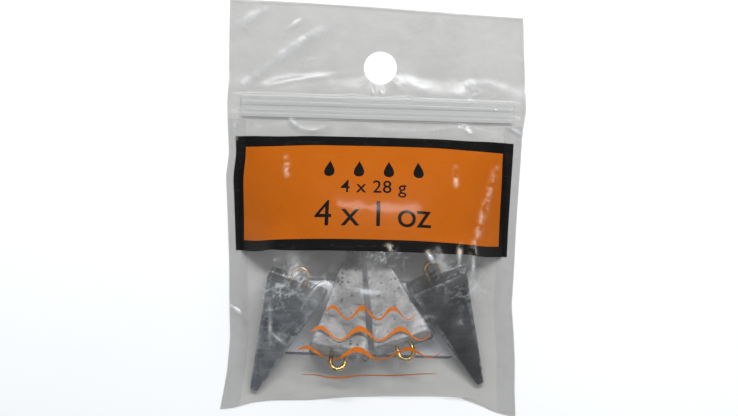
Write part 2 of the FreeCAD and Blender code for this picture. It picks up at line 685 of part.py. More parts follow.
def make_front_lip(pouch):
    """The front film above the mouth line: it slopes down to the zipper, then runs flat to the top."""
    body = new_body("lip_flat")
    sketch = new_sketch(body, "lip_outline", offset=LIP_Z)
    low = f"({SHOULDER} + Sizes.shoulder_gap)"
    add_header_edges(sketch, low)
    add_line(sketch, (f"-({HALF})", low), (HALF, low))
    doc.recompute()
    add_pad(body, sketch, "Sizes.film_gauge", "lip_pad")
    doc.recompute()
    add_hole(body, "lip_hole", "Sizes.film_gauge", f"({LIP_Z} + Sizes.film_gauge)")
    lip = doc.addObject("Part::MultiFuse", "front_lip")
    lip.Shapes = [make_lip_slope(pouch), body]
    return lip


def plan_box(left, low, width, height):
    """An upright prism over a rectangle of the plan, as tall as anything in the bag."""
    return Part.makeBox(width, height, 2 * size("bag_width"), Vector(left, low, -size("bag_width")))


def plan_outline(points):
    """An upright prism over an outline of the plan."""
    loop = [Vector(x, y, -size("bag_width")) for x, y in points]
    face = Part.Face(Part.makePolygon(loop + loop[:1]))
    return face.extrude(Vector(0, 0, 2 * size("bag_width")))


def ink_layer(pouch):
    """A layer as thick as the print, over the puffed film and over the welds beside it."""
    ink, gauge = size("ink_gauge"), size("film_gauge")
    wide, long = size("bag_width"), size("bag_length")
    wings = Part.makeBox(wide, long, ink, Vector(-wide / 2, -long / 2, value(FLOOR) + gauge))
    cover = pouch.solid(-ink).fuse(wings)
    return cover.cut(pouch.solid(0.0, below=gauge, past=ink))


def make_print(name, layer, areas, without=()):
    """Print on the film: the ink layer inside some upright prisms and outside others."""
    shape = layer.common(areas[0].multiFuse(areas[1:]) if len(areas) > 1 else areas[0])
    if without:
        shape = shape.cut(without[0].multiFuse(without[1:]) if len(without) > 1 else without[0])
    ink = doc.addObject("Part::Feature", name)
    ink.Shape = shape
    return ink


def label_frame(inset):
    """The prism over the label, its edges moved in."""
    width = size("bag_width") - 2 * (size("label_margin") + inset)
    height = size("label_height") - 2 * inset
    high = value(MOUTH) - size("label_gap") - inset
    return plan_box(-width / 2, high - height, width, height)


def label_marks():
    """Prisms for the label's generic marks: a drop for each sinker, a short bar and a long one."""
    middle = value(MOUTH) - size("label_gap") - size("label_height") / 2
    marks = []
    for i in range(len(LEADS)):
        x, y = (i - (len(LEADS) - 1) / 2) * size("mark_pitch"), middle + size("mark_rise")
        half, tall = size("mark_width") / 2, size("mark_height") / 2
        marks.append(plan_outline([(x - half, y + tall), (x, y - tall), (x + half, y + tall)]))
    thick = size("bar_height")
    for width, rise in ((size("short_bar"), size("short_rise")), (size("long_bar"), -size("long_drop"))):
        marks.append(plan_box(-width / 2, middle + rise - thick / 2, width, thick))
    return marks


def wave_prism(middle_y, width):
    """A prism over one wavy line of the print on the pouch."""
    half_line, crest = size("line_width") / 2, size("wave_height") / 2
    steps = CRESTS_PER_WAVE * POINTS_PER_CREST
    spots = [(i / steps - 0.5, math.sin(2 * math.pi * i / POINTS_PER_CREST)) for i in range(steps + 1)]
    upper = [(width * x, middle_y + crest * up + half_line) for x, up in spots]
    lower = [(width * x, middle_y + crest * up - half_line) for x, up in reversed(spots)]
    return plan_outline(upper + lower)


def pouch_ornament():
    """Prisms for the generic print over the pouch: some waves, longest below, over a straight rule."""
    low = value(FOLD) + size("print_rise")
    lines = [plan_box(-size("print_width") / 2, low, size("print_width"), size("line_width"))]
    for i in range(PRINTED_WAVES):
        lines.append(
            wave_prism(low + (i + 1) * size("wave_step"), size("print_width") - i * size("wave_trim"))
        )
    return lines


# ---------------------------------------------------------------- the whole pack


def build():
    """Every piece, as a list of the objects to write."""
    leads = lay_out()
    pieces = [make_back_film(), make_zipper_groove(), make_zipper_bead(), make_back_sticker()]
    pieces += [make_side_weld(-1, "side_weld_left"), make_side_weld(+1, "side_weld_right")]
    for name, lying in leads.items():
        eye = make_eye(f"eye_{name}", lying.placement())
        pieces += [eye, make_lead(f"sinker_{name}", lying.placement(), eye)]
    pouch = Pouch(leads)
    pieces += [make_front_film(pouch), make_front_lip(pouch)]
    layer = ink_layer(pouch)
    marks = label_marks()
    border, panel = label_frame(0.0), label_frame(size("border_width"))
    pieces.append(make_print("label_border", layer, [border], [panel]))
    pieces.append(make_print("label_panel", layer, [panel], marks))
    pieces.append(make_print("label_marks", layer, marks))
    pieces.append(make_print("front_print", layer, pouch_ornament()))
    return pieces


def check(pieces):
    """Stop where the document or a piece has failed."""
    doc.recompute()
    for thing in doc.Objects:
        if "Invalid" in thing.State or "Error" in thing.State:
            raise RuntimeError(f"{thing.Label} has failed: {thing.State}")
    for piece in pieces:
        if piece.Shape.isNull() or not piece.Shape.isValid():
            raise RuntimeError(f"{piece.Label} has no valid shape")


def main():
    """Build, check and write one file for each piece."""
    pieces = build()
    check(pieces)
    os.makedirs("parts", exist_ok=True)
    for piece in pieces:
        piece.Shape.exportStep(f"parts/{piece.Label}.step")
        box = piece.Shape.optimalBoundingBox(False)
        print(
            f"{piece.Label:18s} solids {len(piece.Shape.Solids):2d}  volume {piece.Shape.Volume:9.3f} mm3  "
            f"x {box.XMin:7.2f} {box.XMax:7.2f}  y {box.YMin:7.2f} {box.YMax:7.2f}  "
            f"z {box.ZMin:6.2f} {box.ZMax:6.2f}"
        )


main()
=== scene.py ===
# %% [markdown]
# # A hang bag of four pyramid sinkers
# A retail pack of fishing weights: a clear press-to-close bag with a printed front, lying on its back.
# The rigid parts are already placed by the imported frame, so this lesson only adds what the eye reads:
# film that drapes over its contents, cast lead, brass wire and ink.
# The frame comes first, because every piece takes its place from it.

import json
import math

import bmesh
import bpy
import numpy as np
from mathutils.bvhtree import BVHTree
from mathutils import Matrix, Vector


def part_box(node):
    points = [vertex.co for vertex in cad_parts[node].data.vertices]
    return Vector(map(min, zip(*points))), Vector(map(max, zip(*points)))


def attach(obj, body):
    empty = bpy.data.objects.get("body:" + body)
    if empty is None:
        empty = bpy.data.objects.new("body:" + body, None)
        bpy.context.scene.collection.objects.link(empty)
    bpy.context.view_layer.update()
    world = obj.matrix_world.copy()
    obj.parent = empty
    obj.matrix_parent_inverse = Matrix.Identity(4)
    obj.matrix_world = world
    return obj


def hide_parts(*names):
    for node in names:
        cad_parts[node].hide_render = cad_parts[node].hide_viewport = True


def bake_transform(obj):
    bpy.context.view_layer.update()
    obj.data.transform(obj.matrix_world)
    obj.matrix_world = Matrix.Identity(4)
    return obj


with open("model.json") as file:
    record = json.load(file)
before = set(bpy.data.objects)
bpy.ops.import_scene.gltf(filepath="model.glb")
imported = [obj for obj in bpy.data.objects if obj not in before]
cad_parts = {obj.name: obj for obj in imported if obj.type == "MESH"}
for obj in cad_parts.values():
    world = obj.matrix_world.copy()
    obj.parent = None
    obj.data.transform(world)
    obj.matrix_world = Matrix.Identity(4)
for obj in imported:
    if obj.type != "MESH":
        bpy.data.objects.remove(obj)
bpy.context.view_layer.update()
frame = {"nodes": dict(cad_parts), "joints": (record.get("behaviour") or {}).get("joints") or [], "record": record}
MM = 0.001

# %% [markdown]
# ## Camera and light
# A pack shot looks straight down. A long lens keeps the tall lead from leaning out of place.
# The bag is turned a little in the picture, so the camera rolls instead of the bag.

# %% Camera
PIXELS_PER_MM = 3.937
IMAGE_WIDTH = 738
CAMERA_HEIGHT = 800.0
CAMERA_ROLL = math.radians(1.6)
AIM = (-1.4, -0.1)
SENSOR = 36.0

camera_data = bpy.data.cameras.new("camera")
camera_data.sensor_width = SENSOR
camera_data.lens = SENSOR * CAMERA_HEIGHT * PIXELS_PER_MM / IMAGE_WIDTH
camera = bpy.data.objects.new("camera", camera_data)
camera.location = (AIM[0] * MM, AIM[1] * MM, CAMERA_HEIGHT * MM)
camera.rotation_euler = (0.0, 0.0, CAMERA_ROLL)
bpy.context.scene.collection.objects.link(camera)
bpy.context.scene.camera = camera
bpy.context.scene.view_settings.view_transform = "Standard"
print("lens", round(camera_data.lens, 1), "mm")

# %% Soft lights: a broad window beyond the hang hole, a narrow strip on the left and two fills
def add_light(name, place, size, watts, tint):
    """A rectangular soft light at a place in metres, turned towards the middle of the pack."""
    data = bpy.data.lights.new(name, "AREA")
    data.shape = "RECTANGLE"
    data.size, data.size_y = size
    data.energy = watts
    data.color = tint
    light = bpy.data.objects.new(name, data)
    light.location = place
    across, along, up = place
    light.rotation_euler = (math.atan2(math.hypot(across, along), up), 0.0, math.atan2(-across, along))
    bpy.context.scene.collection.objects.link(light)


add_light("window", (0.05, 0.33, 0.66), (0.50, 0.12), 8.6, (0.97, 0.985, 1.0))
add_light("left_strip", (-0.62, 0.12, 0.40), (0.05, 0.50), 6.0, (1.0, 1.0, 1.0))
add_light("right_fill", (0.66, -0.24, 0.52), (0.30, 0.40), 9.0, (1.0, 0.99, 0.97))
add_light("low_fill", (-0.10, -0.66, 0.50), (0.50, 0.20), 8.0, (1.0, 0.99, 0.98))

world = bpy.data.worlds.new("studio")
bpy.context.scene.world = world
world.use_nodes = True
sky = world.node_tree.nodes["Background"].inputs
sky["Color"].default_value = (0.93, 0.96, 1.0, 1.0)
sky["Strength"].default_value = 0.46

# %% [markdown]
# ## Small tools for meshes
# Every new piece is a surface: a grid of points that one formula gives.
# These few helpers turn such a grid into a mesh, so that each later cell is only about its own shape.

# %% Grid helpers
def grid_quads(rows, columns, wrap=False):
    """Corner numbers of every cell of a grid of points; wrap joins the last column to the first."""
    index = np.arange(rows * columns).reshape(rows, columns)
    right = np.roll(index, -1, axis=1) if wrap else index[:, 1:]
    left = index if wrap else index[:, :-1]
    quads = np.stack([left[:-1], right[:-1], right[1:], left[1:]], axis=-1)
    return quads.reshape(-1, 4)


def new_piece(name, points, faces, material, smooth=True):
    """A mesh piece from points in millimetres and faces, which are rows of corner numbers."""
    points = np.asarray(points, float).reshape(-1, 3)
    mesh = bpy.data.meshes.new(name)
    mesh.from_pydata((points * MM).tolist(), [], faces if isinstance(faces, list) else faces.tolist())
    mesh.polygons.foreach_set("use_smooth", np.full(len(mesh.polygons), smooth))
    mesh.materials.append(material)
    mesh.update()
    piece = bpy.data.objects.new(name, mesh)
    bpy.context.scene.collection.objects.link(piece)
    return piece


def unit(vectors):
    """Vectors scaled to length one."""
    return vectors / np.maximum(np.linalg.norm(vectors, axis=-1, keepdims=True), 1e-12)


print("a grid of 3 by 4 points has", len(grid_quads(3, 4)), "cells")

# %% Noise: random numbers on a lattice, blended smoothly
def smoothstep(share):
    """The curve 3t^2 - 2t^3, which leaves 0 and reaches 1 without a corner."""
    return share * share * (3 - 2 * share)


def lattice_value(cells, seed):
    """A repeatable number from -1 to 1 for each whole-numbered lattice point."""
    mixed = np.sin(cells @ np.array([127.1, 311.7, 74.7]) + seed * 53.9) * 43758.5453
    return 2.0 * (mixed - np.floor(mixed)) - 1.0


def noise(points, wavelength, seed):
    """Value noise at points: the eight lattice numbers around each point, blended along X, Y and Z."""
    scaled = np.asarray(points, float) / wavelength
    cell = np.floor(scaled)
    part = smoothstep(scaled - cell)
    total = 0.0
    for corner in np.ndindex(2, 2, 2):
        share = np.prod(np.where(np.array(corner) == 1, part, 1.0 - part), axis=-1)
        total = total + share * lattice_value(cell + np.array(corner), seed)
    return total


def rough_noise(points, wavelength, seed, octaves=4):
    """Noise summed over octaves: each has half the wavelength and half the height of the one before."""
    layers = [noise(points, wavelength / 2**k, seed + k) / 2**k for k in range(octaves)]
    return sum(layers) / 2.0


print("noise spread", np.round(noise(np.random.default_rng(1).uniform(0, 50, (500, 3)), 3.0, 1).std(), 2))

# %% [markdown]
# ## Small tools for materials
# A finish is a Principled shader fed by a few masks. The masks that several finishes share are node groups:
# one for grain and pits, one for long thin scratches. Each takes its own scale and strength.

# %% Node helpers
def plug_in(tree, node, inputs):
    """Fills a node's inputs: another node's output is linked, a plain value is set on the socket."""
    for key, source in inputs.items():
        if isinstance(source, bpy.types.NodeSocket):
            tree.links.new(source, node.inputs[key])
        else:
            node.inputs[key].default_value = source


def add_node(tree, kind, inputs=None, **settings):
    """A shader node, with its inputs keyed by name or number."""
    made = tree.nodes.new(kind)
    for key, setting in settings.items():
        setattr(made, key, setting)
    plug_in(tree, made, inputs or {})
    return made


def math_node(tree, operation, first, second=0.5, clamp=False):
    """The result of one sum on two inputs."""
    inputs = {0: first, 1: second}
    return add_node(tree, "ShaderNodeMath", inputs, operation=operation, use_clamp=clamp).outputs[0]


def add_share(tree, base, mask, gain, clamp=False):
    """A base plus a mask times its gain."""
    return math_node(tree, "ADD", base, math_node(tree, "MULTIPLY", mask, gain), clamp)


def ramp(tree, factor, low, high):
    """A mask that rises from 0 at low to 1 at high."""
    inputs = {"Value": factor, "From Min": low, "From Max": high}
    return add_node(tree, "ShaderNodeMapRange", inputs, interpolation_type="SMOOTHSTEP").outputs["Result"]


def mix_colour(tree, factor, first, second):
    """A colour between two, by a mask."""
    return add_node(tree, "ShaderNodeMix", {0: factor, 6: first, 7: second}, data_type="RGBA").outputs[2]


def new_material(name):
    """An empty material with its Principled shader, its tree and its object coordinates."""
    material = bpy.data.materials.new(name)
    material.use_nodes = True
    tree = material.node_tree
    tree.nodes.clear()
    output = tree.nodes.new("ShaderNodeOutputMaterial")
    shader = tree.nodes.new("ShaderNodeBsdfPrincipled")
    tree.links.new(shader.outputs["BSDF"], output.inputs["Surface"])
    place = tree.nodes.new("ShaderNodeTexCoord").outputs["Object"]
    return material, tree, shader, place


def add_bump(tree, shader, height, distance, strength=1.0):
    """Fine relief: a height mask that tilts the shading."""
    inputs = {"Height": height, "Distance": distance, "Strength": strength}
    bump = add_node(tree, "ShaderNodeBump", inputs)
    tree.links.new(bump.outputs["Normal"], shader.inputs["Normal"])


def srgb(red, green, blue):
    """A colour given as screen values from 0 to 255, made linear."""
    part = np.array([red, green, blue]) / 255.0
    linear = np.where(part <= 0.04045, part / 12.92, ((part + 0.055) / 1.055) ** 2.4)
    return (*linear.tolist(), 1.0)


print("screen grey 128 is", round(srgb(128, 128, 128)[0], 3), "in linear light")

# %% Shared node groups
def new_group(name, inputs, outputs):
    """An empty node group with named number sockets. Place is the vector that its pattern follows."""
    group = bpy.data.node_groups.new(name, "ShaderNodeTree")
    group.interface.new_socket("Place", in_out="INPUT", socket_type="NodeSocketVector")
    for label, default in inputs:
        socket = group.interface.new_socket(label, in_out="INPUT", socket_type="NodeSocketFloat")
        socket.default_value = default
    for label in outputs:
        group.interface.new_socket(label, in_out="OUTPUT", socket_type="NodeSocketFloat")
    return group, group.nodes.new("NodeGroupInput").outputs, group.nodes.new("NodeGroupOutput").inputs


def make_grain_group():
    """Cloudy patches, fine grain and sparse round pits of many sizes, each from 0 to 1."""
    group, given, out = new_group("Grain", [("Scale", 400.0), ("Pits", 0.5)], ["Patches", "Grain", "Pits"])
    coarse = {"Scale": math_node(group, "MULTIPLY", given["Scale"], 0.35), "Detail": 3.0}
    patches = add_node(group, "ShaderNodeTexNoise", {"Vector": given["Place"], **coarse})
    close = {"Scale": given["Scale"], "Detail": 6.0}
    fine = add_node(group, "ShaderNodeTexNoise", {"Vector": given["Place"], **close})
    cells = {"Vector": given["Place"], "Scale": math_node(group, "MULTIPLY", given["Scale"], 1.3)}
    holes = add_node(group, "ShaderNodeTexVoronoi", cells)
    draws = add_node(group, "ShaderNodeSeparateColor", {"Color": holes.outputs["Color"]}).outputs
    chosen = math_node(group, "LESS_THAN", draws[0], given["Pits"])
    size = math_node(group, "MULTIPLY", draws[1], 0.40)
    depth = ramp(group, holes.outputs["Distance"], size, math_node(group, "MULTIPLY", size, 0.4))
    group.links.new(patches.outputs["Fac"], out["Patches"])
    group.links.new(fine.outputs["Fac"], out["Grain"])
    group.links.new(math_node(group, "MULTIPLY", chosen, depth), out["Pits"])
    return group


def make_scratch_group():
    """Long thin marks: noise stretched twenty times along one direction, kept where it crosses its middle."""
    group, given, out = new_group("Scratches", [("Scale", 300.0), ("Turn", 0.6), ("Width", 0.03)], ["Marks"])
    spin = add_node(group, "ShaderNodeCombineXYZ", {"Z": given["Turn"]}).outputs[0]
    stretch = {"Vector": given["Place"], "Rotation": spin, "Scale": (0.05, 1.0, 0.4)}
    turned = add_node(group, "ShaderNodeMapping", stretch).outputs[0]
    streaks = {"Vector": turned, "Scale": given["Scale"], "Detail": 2.0}
    streaks = add_node(group, "ShaderNodeTexNoise", streaks).outputs["Fac"]
    middle = math_node(group, "ABSOLUTE", math_node(group, "SUBTRACT", streaks, 0.5))
    marks = math_node(group, "SUBTRACT", 1.0, ramp(group, middle, 0.0, given["Width"]))
    group.links.new(marks, out["Marks"])
    return group


GRAIN, SCRATCHES = make_grain_group(), make_scratch_group()


def place_group(tree, group, place, **inputs):
    """One use of a shared group, with this material's own values."""
    return add_node(tree, "ShaderNodeGroup", {"Place": place, **inputs}, node_tree=group).outputs


print("shared groups", GRAIN.name, SCRATCHES.name)

# %% [markdown]
# ## The floor
# A pale sheet of card, just under the pack, so that the film reads grey against it.

# %% Floor
def card_material():
    """Matt card with a trace of grain."""
    material, tree, shader, place = new_material("card")
    grain = place_group(tree, GRAIN, place, Scale=60.0)
    tint = mix_colour(tree, grain["Patches"], srgb(240, 240, 240), srgb(246, 246, 246))
    plug_in(tree, shader, {"Base Color": tint, "Roughness": 0.7})
    return material


FLOOR_HALF = 1500.0
FLOOR_DROP = 0.05
floor_line = np.linspace(-FLOOR_HALF, FLOOR_HALF, 5)
floor_points = np.stack([*np.meshgrid(floor_line, floor_line), np.full((5, 5), -FLOOR_DROP)], axis=-1)
floor = new_piece("floor", floor_points, grid_quads(5, 5), card_material())
print("floor side", 2 * FLOOR_HALF, "mm")

# %% [markdown]
# ## Where each sinker lies
# A pyramid's own axis runs from its line eye to its tip. The frame gives both: the eye is a mount, and
# the tip is where the vertices farthest from the eye are. From these come the base, the length and the
# three directions.

# %% Sinker frames
SINKERS = ("left", "mid_left", "mid_right", "right")
LOOP_REACH = 2.4
TIP_VERTICES = 40


def vertices(mesh):
    """The vertices of a mesh, one in each row."""
    points = np.zeros(len(mesh.vertices) * 3)
    mesh.vertices.foreach_get("co", points)
    return points.reshape(-1, 3)


def lying_frame(name):
    """Base centre, the three axes (across, up, along) and the length of one pyramid."""
    mount = next(m for m in frame["record"]["mounts"] if m["name"] == f"line_eye_{name}")
    eye, up = np.array(mount["pos_m"]) / MM, unit(np.array(mount["axis"]))
    reach = vertices(frame["nodes"][f"sinker_{name}"].data) / MM - eye
    along = unit(reach[np.argsort(np.linalg.norm(reach, axis=1))[-TIP_VERTICES:]].mean(axis=0))
    along = unit(along - up * (along @ up))
    across = np.cross(up, along)
    run = reach @ along
    return {"base": eye + along * LOOP_REACH, "across": across, "up": up, "along": along,
            "length": run.max() - LOOP_REACH}


lying = {name: lying_frame(name) for name in SINKERS}
for name, place in lying.items():
    print(name, "base", np.round(place["base"], 2), "along", np.round(place["along"], 3))
    print(name, "length", round(place["length"], 2))

# %% [markdown]
# ## The outline of the bag
# The film was cut as a rectangle, 76.2 by 104.4 mm. Filled, it pulls in at the waist and at the fold,
# so its edges in plan are gentle curves. They are read off the picture as a few points each.

# %% Edge curves, in millimetres
RIGHT_EDGE = ((-53, 37.3), (-45, 36.8), (-38, 36.7), (-31, 36.2), (-24, 35.5), (-16, 35.8), (-3, 36.1),
              (9, 36.6), (20, 37.0), (26, 37.8), (33, 37.3), (41, 36.8), (53, 36.2))
LEFT_EDGE = ((-53, -37.9), (-47, -36.9), (-42, -36.2), (-34, -35.7), (-24, -36.2), (-14, -36.5), (0, -37.4),
             (7, -37.9), (13, -37.3), (20, -37.8), (26, -38.1), (32, -37.8), (41, -38.0), (53, -38.1))
FOLD_EDGE = ((-38, -52.2), (-34, -51.7), (-30, -50.3), (-25, -49.5), (-15, -49.2), (-6, -48.2), (4, -47.7),
             (16, -47.4), (23, -47.4), (28, -49.1), (33, -51.2), (38, -52.1))
TOP_EDGE = ((-38, 52.0), (-20, 51.6), (0, 50.9), (20, 49.9), (36, 49.2))
CURVE_POINTS = 600


def smooth_curve(knots, softness=2.0):
    """A function of one number: straight lines between the knots, averaged over a window that rounds them."""
    given, found = np.array(knots, float).T
    line = np.linspace(given[0] - softness, given[-1] + softness, CURVE_POINTS)
    window = np.hanning(2 * int(softness * CURVE_POINTS / (line[-1] - line[0])) + 3)
    half = len(window) // 2
    level = np.pad(np.interp(line, given, found), half, mode="edge")
    rounded = np.convolve(level, window / window.sum(), "valid")
    return lambda where: np.interp(where, line, rounded)


right_edge, left_edge = smooth_curve(RIGHT_EDGE), smooth_curve(LEFT_EDGE)
fold_edge, top_edge = smooth_curve(FOLD_EDGE), smooth_curve(TOP_EDGE)

print("waist", np.round(right_edge(-24.0) - left_edge(-24.0), 2), "mm")

# %% From the cut film to its place in plan
FILM_WIDTH, FILM_LOW, FILM_TOP = 76.2, -52.2, 52.2
MOUTH = 22.0
DRAWN_IN = 0.985


def lay_flat(across, along):
    """Plan of a point of the cut film: rows fill fold to mouth and mouth to top, columns edge to edge."""
    x = across * DRAWN_IN
    fold, top = fold_edge(x), top_edge(x)
    pouch = fold + (MOUTH - fold) * (along - FILM_LOW) / (MOUTH - FILM_LOW)
    header = MOUTH + (top - MOUTH) * (along - MOUTH) / (FILM_TOP - MOUTH)
    y = np.where(along <= MOUTH, pouch, header)
    left, right = left_edge(y), right_edge(y)
    return left + (right - left) * (across / FILM_WIDTH + 0.5), y


print("the middle of the top edge lies at y", np.round(lay_flat(0.0, FILM_TOP)[1], 2), "mm")

# %% [markdown]
# ## What the film rests on
# The film hangs over four lead pyramids that can slide a few millimetres in the pouch.
# Their highest surface, over all of that travel, is a height map. Each pyramid is six planes,
# so its top at a point is the lowest of the upward planes. The line eyes are flat boxes that move along.
# A blur rounds the map as stiff film would. Between the leads, trapped air holds the film up like a cushion.

# %% The top of one lead
ROOF_STEP = 0.25
ROOF_LOW = np.array([-40.0, -54.0])
ROOF_COLUMNS, ROOF_ROWS = 321, 441
LEAD_BASE, LEAD_TIP, LEAD_HEIGHT = 15.2, 2.0, 30.0
TAPER = math.atan((LEAD_BASE - LEAD_TIP) / 2 / LEAD_HEIGHT)

roof_x, roof_y = np.meshgrid(ROOF_LOW[0] + ROOF_STEP * np.arange(ROOF_COLUMNS),
                             ROOF_LOW[1] + ROOF_STEP * np.arange(ROOF_ROWS))


def top_of_lead(place, slide):
    """Height of one pyramid moved by slide along Y, and minus infinity beside it."""
    middle = place["base"] + np.array([0.0, slide, 0.0])
    high, low = np.full(roof_x.shape, np.inf), np.full(roof_x.shape, -np.inf)
    ways = [sign * place[axis] for sign in (-1, 1) for axis in ("across", "up")]
    sides = [(way * math.cos(TAPER) + place["along"] * math.sin(TAPER), way * LEAD_BASE / 2) for way in ways]
    ends = [(-place["along"], 0.0 * middle), (place["along"], place["along"] * place["length"])]
    for normal, offset in sides + ends:
        point = middle + offset
        height = point[2] - (normal[0] * (roof_x - point[0]) + normal[1] * (roof_y - point[1])) / normal[2]
        if normal[2] > 0:
            high = np.minimum(high, height)
        else:
            low = np.maximum(low, height)
    return np.where(high >= low, high, -np.inf)


print("the left lead rises to", np.round(top_of_lead(lying["left"], 0.0).max(), 2), "mm")

# %% The tops of the line eyes
EYE_WIRE, EYE_HALF, EYE_REACH = 0.6, 2.45, 4.85
joints = {joint["name"]: joint for joint in frame["joints"]}


def tops_of_eyes():
    """Height map of the flat box around each line eye, over the whole travel of its pyramid."""
    side, out, travel = np.meshgrid(np.linspace(-EYE_HALF, EYE_HALF, 41), np.linspace(0, EYE_REACH, 41),
                                    np.linspace(0, 1, 13))
    grid = np.full(roof_x.shape, -np.inf)
    for name in SINKERS:
        place, (low, high) = lying[name], joints[f"shift_{name}"]["range_m"]
        middle = place["base"] + EYE_WIRE * place["up"]
        spots = middle + side[..., None] * place["across"] - out[..., None] * place["along"]
        spots[..., 1] += (low + (high - low) * travel) / MM
        cells = np.round((spots[..., :2] - ROOF_LOW) / ROOF_STEP).astype(int)
        np.maximum.at(grid, (cells[..., 1], cells[..., 0]), spots[..., 2])
    return grid


print("the eyes rise to", np.round(tops_of_eyes().max(), 2), "mm")

# %% The roof of all leads, rounded
FILM_CLEARANCE = 0.55
TABLE_LEVEL = 0.3
TRAVEL_STEPS = 7


def spread(grid, radius):
    """Each point takes the highest value within a round neighbourhood of so many cells."""
    shifts = [(j, i) for j in range(-radius, radius + 1) for i in range(-radius, radius + 1)
              if i * i + j * j <= radius * radius + 1]
    return np.max([np.roll(grid, shift, axis=(0, 1)) for shift in shifts], axis=0)


def blur(grid, radius):
    """Each point takes the mean over a window, rows first and then columns."""
    window = np.hanning(2 * radius + 3)[1:-1]
    window /= window.sum()

    def soften(line):
        return np.convolve(np.pad(line, radius, mode="edge"), window, "valid")

    for _ in range(2):
        grid = np.apply_along_axis(soften, 0, grid).T
    return grid


def make_roof():
    """The height map that the film keeps above."""
    tops = [tops_of_eyes()]
    for name in SINKERS:
        low, high = (limit / MM for limit in joints[f"shift_{name}"]["range_m"])
        tops += [top_of_lead(lying[name], slide) for slide in np.linspace(low, high, TRAVEL_STEPS)]
    solid = np.maximum(np.max(tops, axis=0), TABLE_LEVEL)
    wide = spread(solid, 4)
    return np.maximum(blur(wide, 3), spread(solid, 1)) + FILM_CLEARANCE * (wide > TABLE_LEVEL + 0.01)


roof = make_roof()
print("the roof of the leads rises to", round(float(roof.max()), 2), "mm")

# %% The cushion of air
AIR_DROP = 1.3
AIR_STRIDE = 4
AIR_BLUR = 10
RAY_START = 0.05


def air_cushion():
    """The film of the frame, measured from above by rays, then blurred and let down by AIR_DROP."""
    film = frame["nodes"]["front_film"].data
    tree = BVHTree.FromPolygons(vertices(film).tolist(), [face.vertices for face in film.polygons])
    ray_x, ray_y = (grid[::AIR_STRIDE, ::AIR_STRIDE] for grid in (roof_x, roof_y))
    starts = np.stack([ray_x * MM, ray_y * MM, np.full(ray_x.shape, RAY_START)], axis=-1).reshape(-1, 3)
    hits = [tree.ray_cast(start, (0, 0, -1))[0] for start in starts.tolist()]
    level = np.array([hit.z / MM if hit else 0.0 for hit in hits]).reshape(ray_x.shape)
    fine = level.repeat(AIR_STRIDE, axis=0).repeat(AIR_STRIDE, axis=1)[:ROOF_ROWS, :ROOF_COLUMNS]
    return blur(fine, AIR_BLUR) - AIR_DROP


def read_grid(grid, row, column):
    """A grid's value between its four nearest points, blended along its columns and then its rows."""
    row = np.clip(row, 0, grid.shape[0] - 1.001)
    column = np.clip(column, 0, grid.shape[1] - 1.001)
    j, i = row.astype(int), column.astype(int)
    row, column = row - j, column - i
    if grid.ndim == 3:
        row, column = row[..., None], column[..., None]
    near = grid[j, i] * (1 - column) + grid[j, i + 1] * column
    far = grid[j + 1, i] * (1 - column) + grid[j + 1, i + 1] * column
    return near * (1 - row) + far * row


def roof_height(points):
    """The height map under each point."""
    column, row = np.moveaxis((points[..., :2] - ROOF_LOW) / ROOF_STEP, -1, 0)
    return read_grid(roof, row, column)


roof = np.maximum(roof, air_cushion())
print("with the air it rises to", round(float(roof.max()), 2), "mm")

# %% [markdown]
# ## Draping the film
# Film hardly stretches, but it buckles freely, and that is what makes its folds. The grid of points
# is blown up a little, as air fills a pouch, and then let down over the leads. After each step
# neighbours are drawn back to their flat distance, firmly when stretched and softly when squeezed.
# The work starts on a coarse grid, and each finer grid starts from the one before.

# %% Film solver
WELD_INNER = 34.6
CEILING = 17.0
STIFFNESS, DAMPING = 0.42, 0.96
RISING_SHARE = 0.6
# Which neighbours pull: so many rows and columns away, and how firmly.
PULLS = ((0, 1, 1.0), (1, 0, 1.0), (1, 1, 0.7), (1, -1, 0.7), (0, 2, 0.12), (2, 0, 0.12))


def flat_grid(rows, columns, low, high):
    """Flat positions of a grid of film points between two heights along the cut."""
    return np.meshgrid(np.linspace(-FILM_WIDTH / 2, FILM_WIDTH / 2, columns), np.linspace(low, high, rows))


def draw_together(points, free, rest, rows, columns, firm, soft):
    """Moves pairs of points, so many rows and columns apart, towards their rest length."""
    height, width = points.shape[:2]
    near = (slice(0, height - rows), slice(max(0, -columns), width - max(0, columns)))
    far = (slice(rows, height), slice(max(0, columns), width - max(0, -columns)))
    gap = points[far] - points[near]
    length = np.linalg.norm(gap, axis=-1, keepdims=True)
    error = length - rest
    move = gap * np.where(error > 0, firm, soft) * STIFFNESS * error / length
    points[near] += move * free[near]
    points[far] -= move * free[far]


def drape(points, steps, air, squeeze):
    """Blows the film up for most of the steps, then lets it down, over the roof and under the ceiling."""
    rows, columns = points.shape[:2]
    across, along = flat_grid(rows, columns, FILM_LOW, MOUTH)
    fixed = (np.abs(across) > WELD_INNER) | (along <= FILM_LOW) | (along >= MOUTH)
    free = np.where(fixed, 0.0, 1.0)[..., None]
    cell = np.array([FILM_WIDTH / (columns - 1), (MOUTH - FILM_LOW) / (rows - 1)])
    speed = np.zeros_like(points)
    for step in range(steps):
        speed[..., 2] += air if step < RISING_SHARE * steps else -0.3 * air
        before = points.copy()
        points += speed * free
        for _ in range(3):
            for row, column, share in PULLS:
                rest = math.hypot(row * cell[1], column * cell[0])
                draw_together(points, free, rest, row, column, share, share * squeeze)
            lifted = np.clip(points[..., 2], roof_height(points), CEILING)
            points[..., 2] = np.where(fixed, points[..., 2], lifted)
        speed = DAMPING * (points - before)
    return points


print(len(PULLS), "kinds of pull")

# %% From a pillow to the draped pouch
FILM_REST = 0.45
BEAD_TOP = 1.72
PILLOW_HALF, PILLOW_HEIGHT = 34.9, 13.0
MOUTH_RUN = 0.93
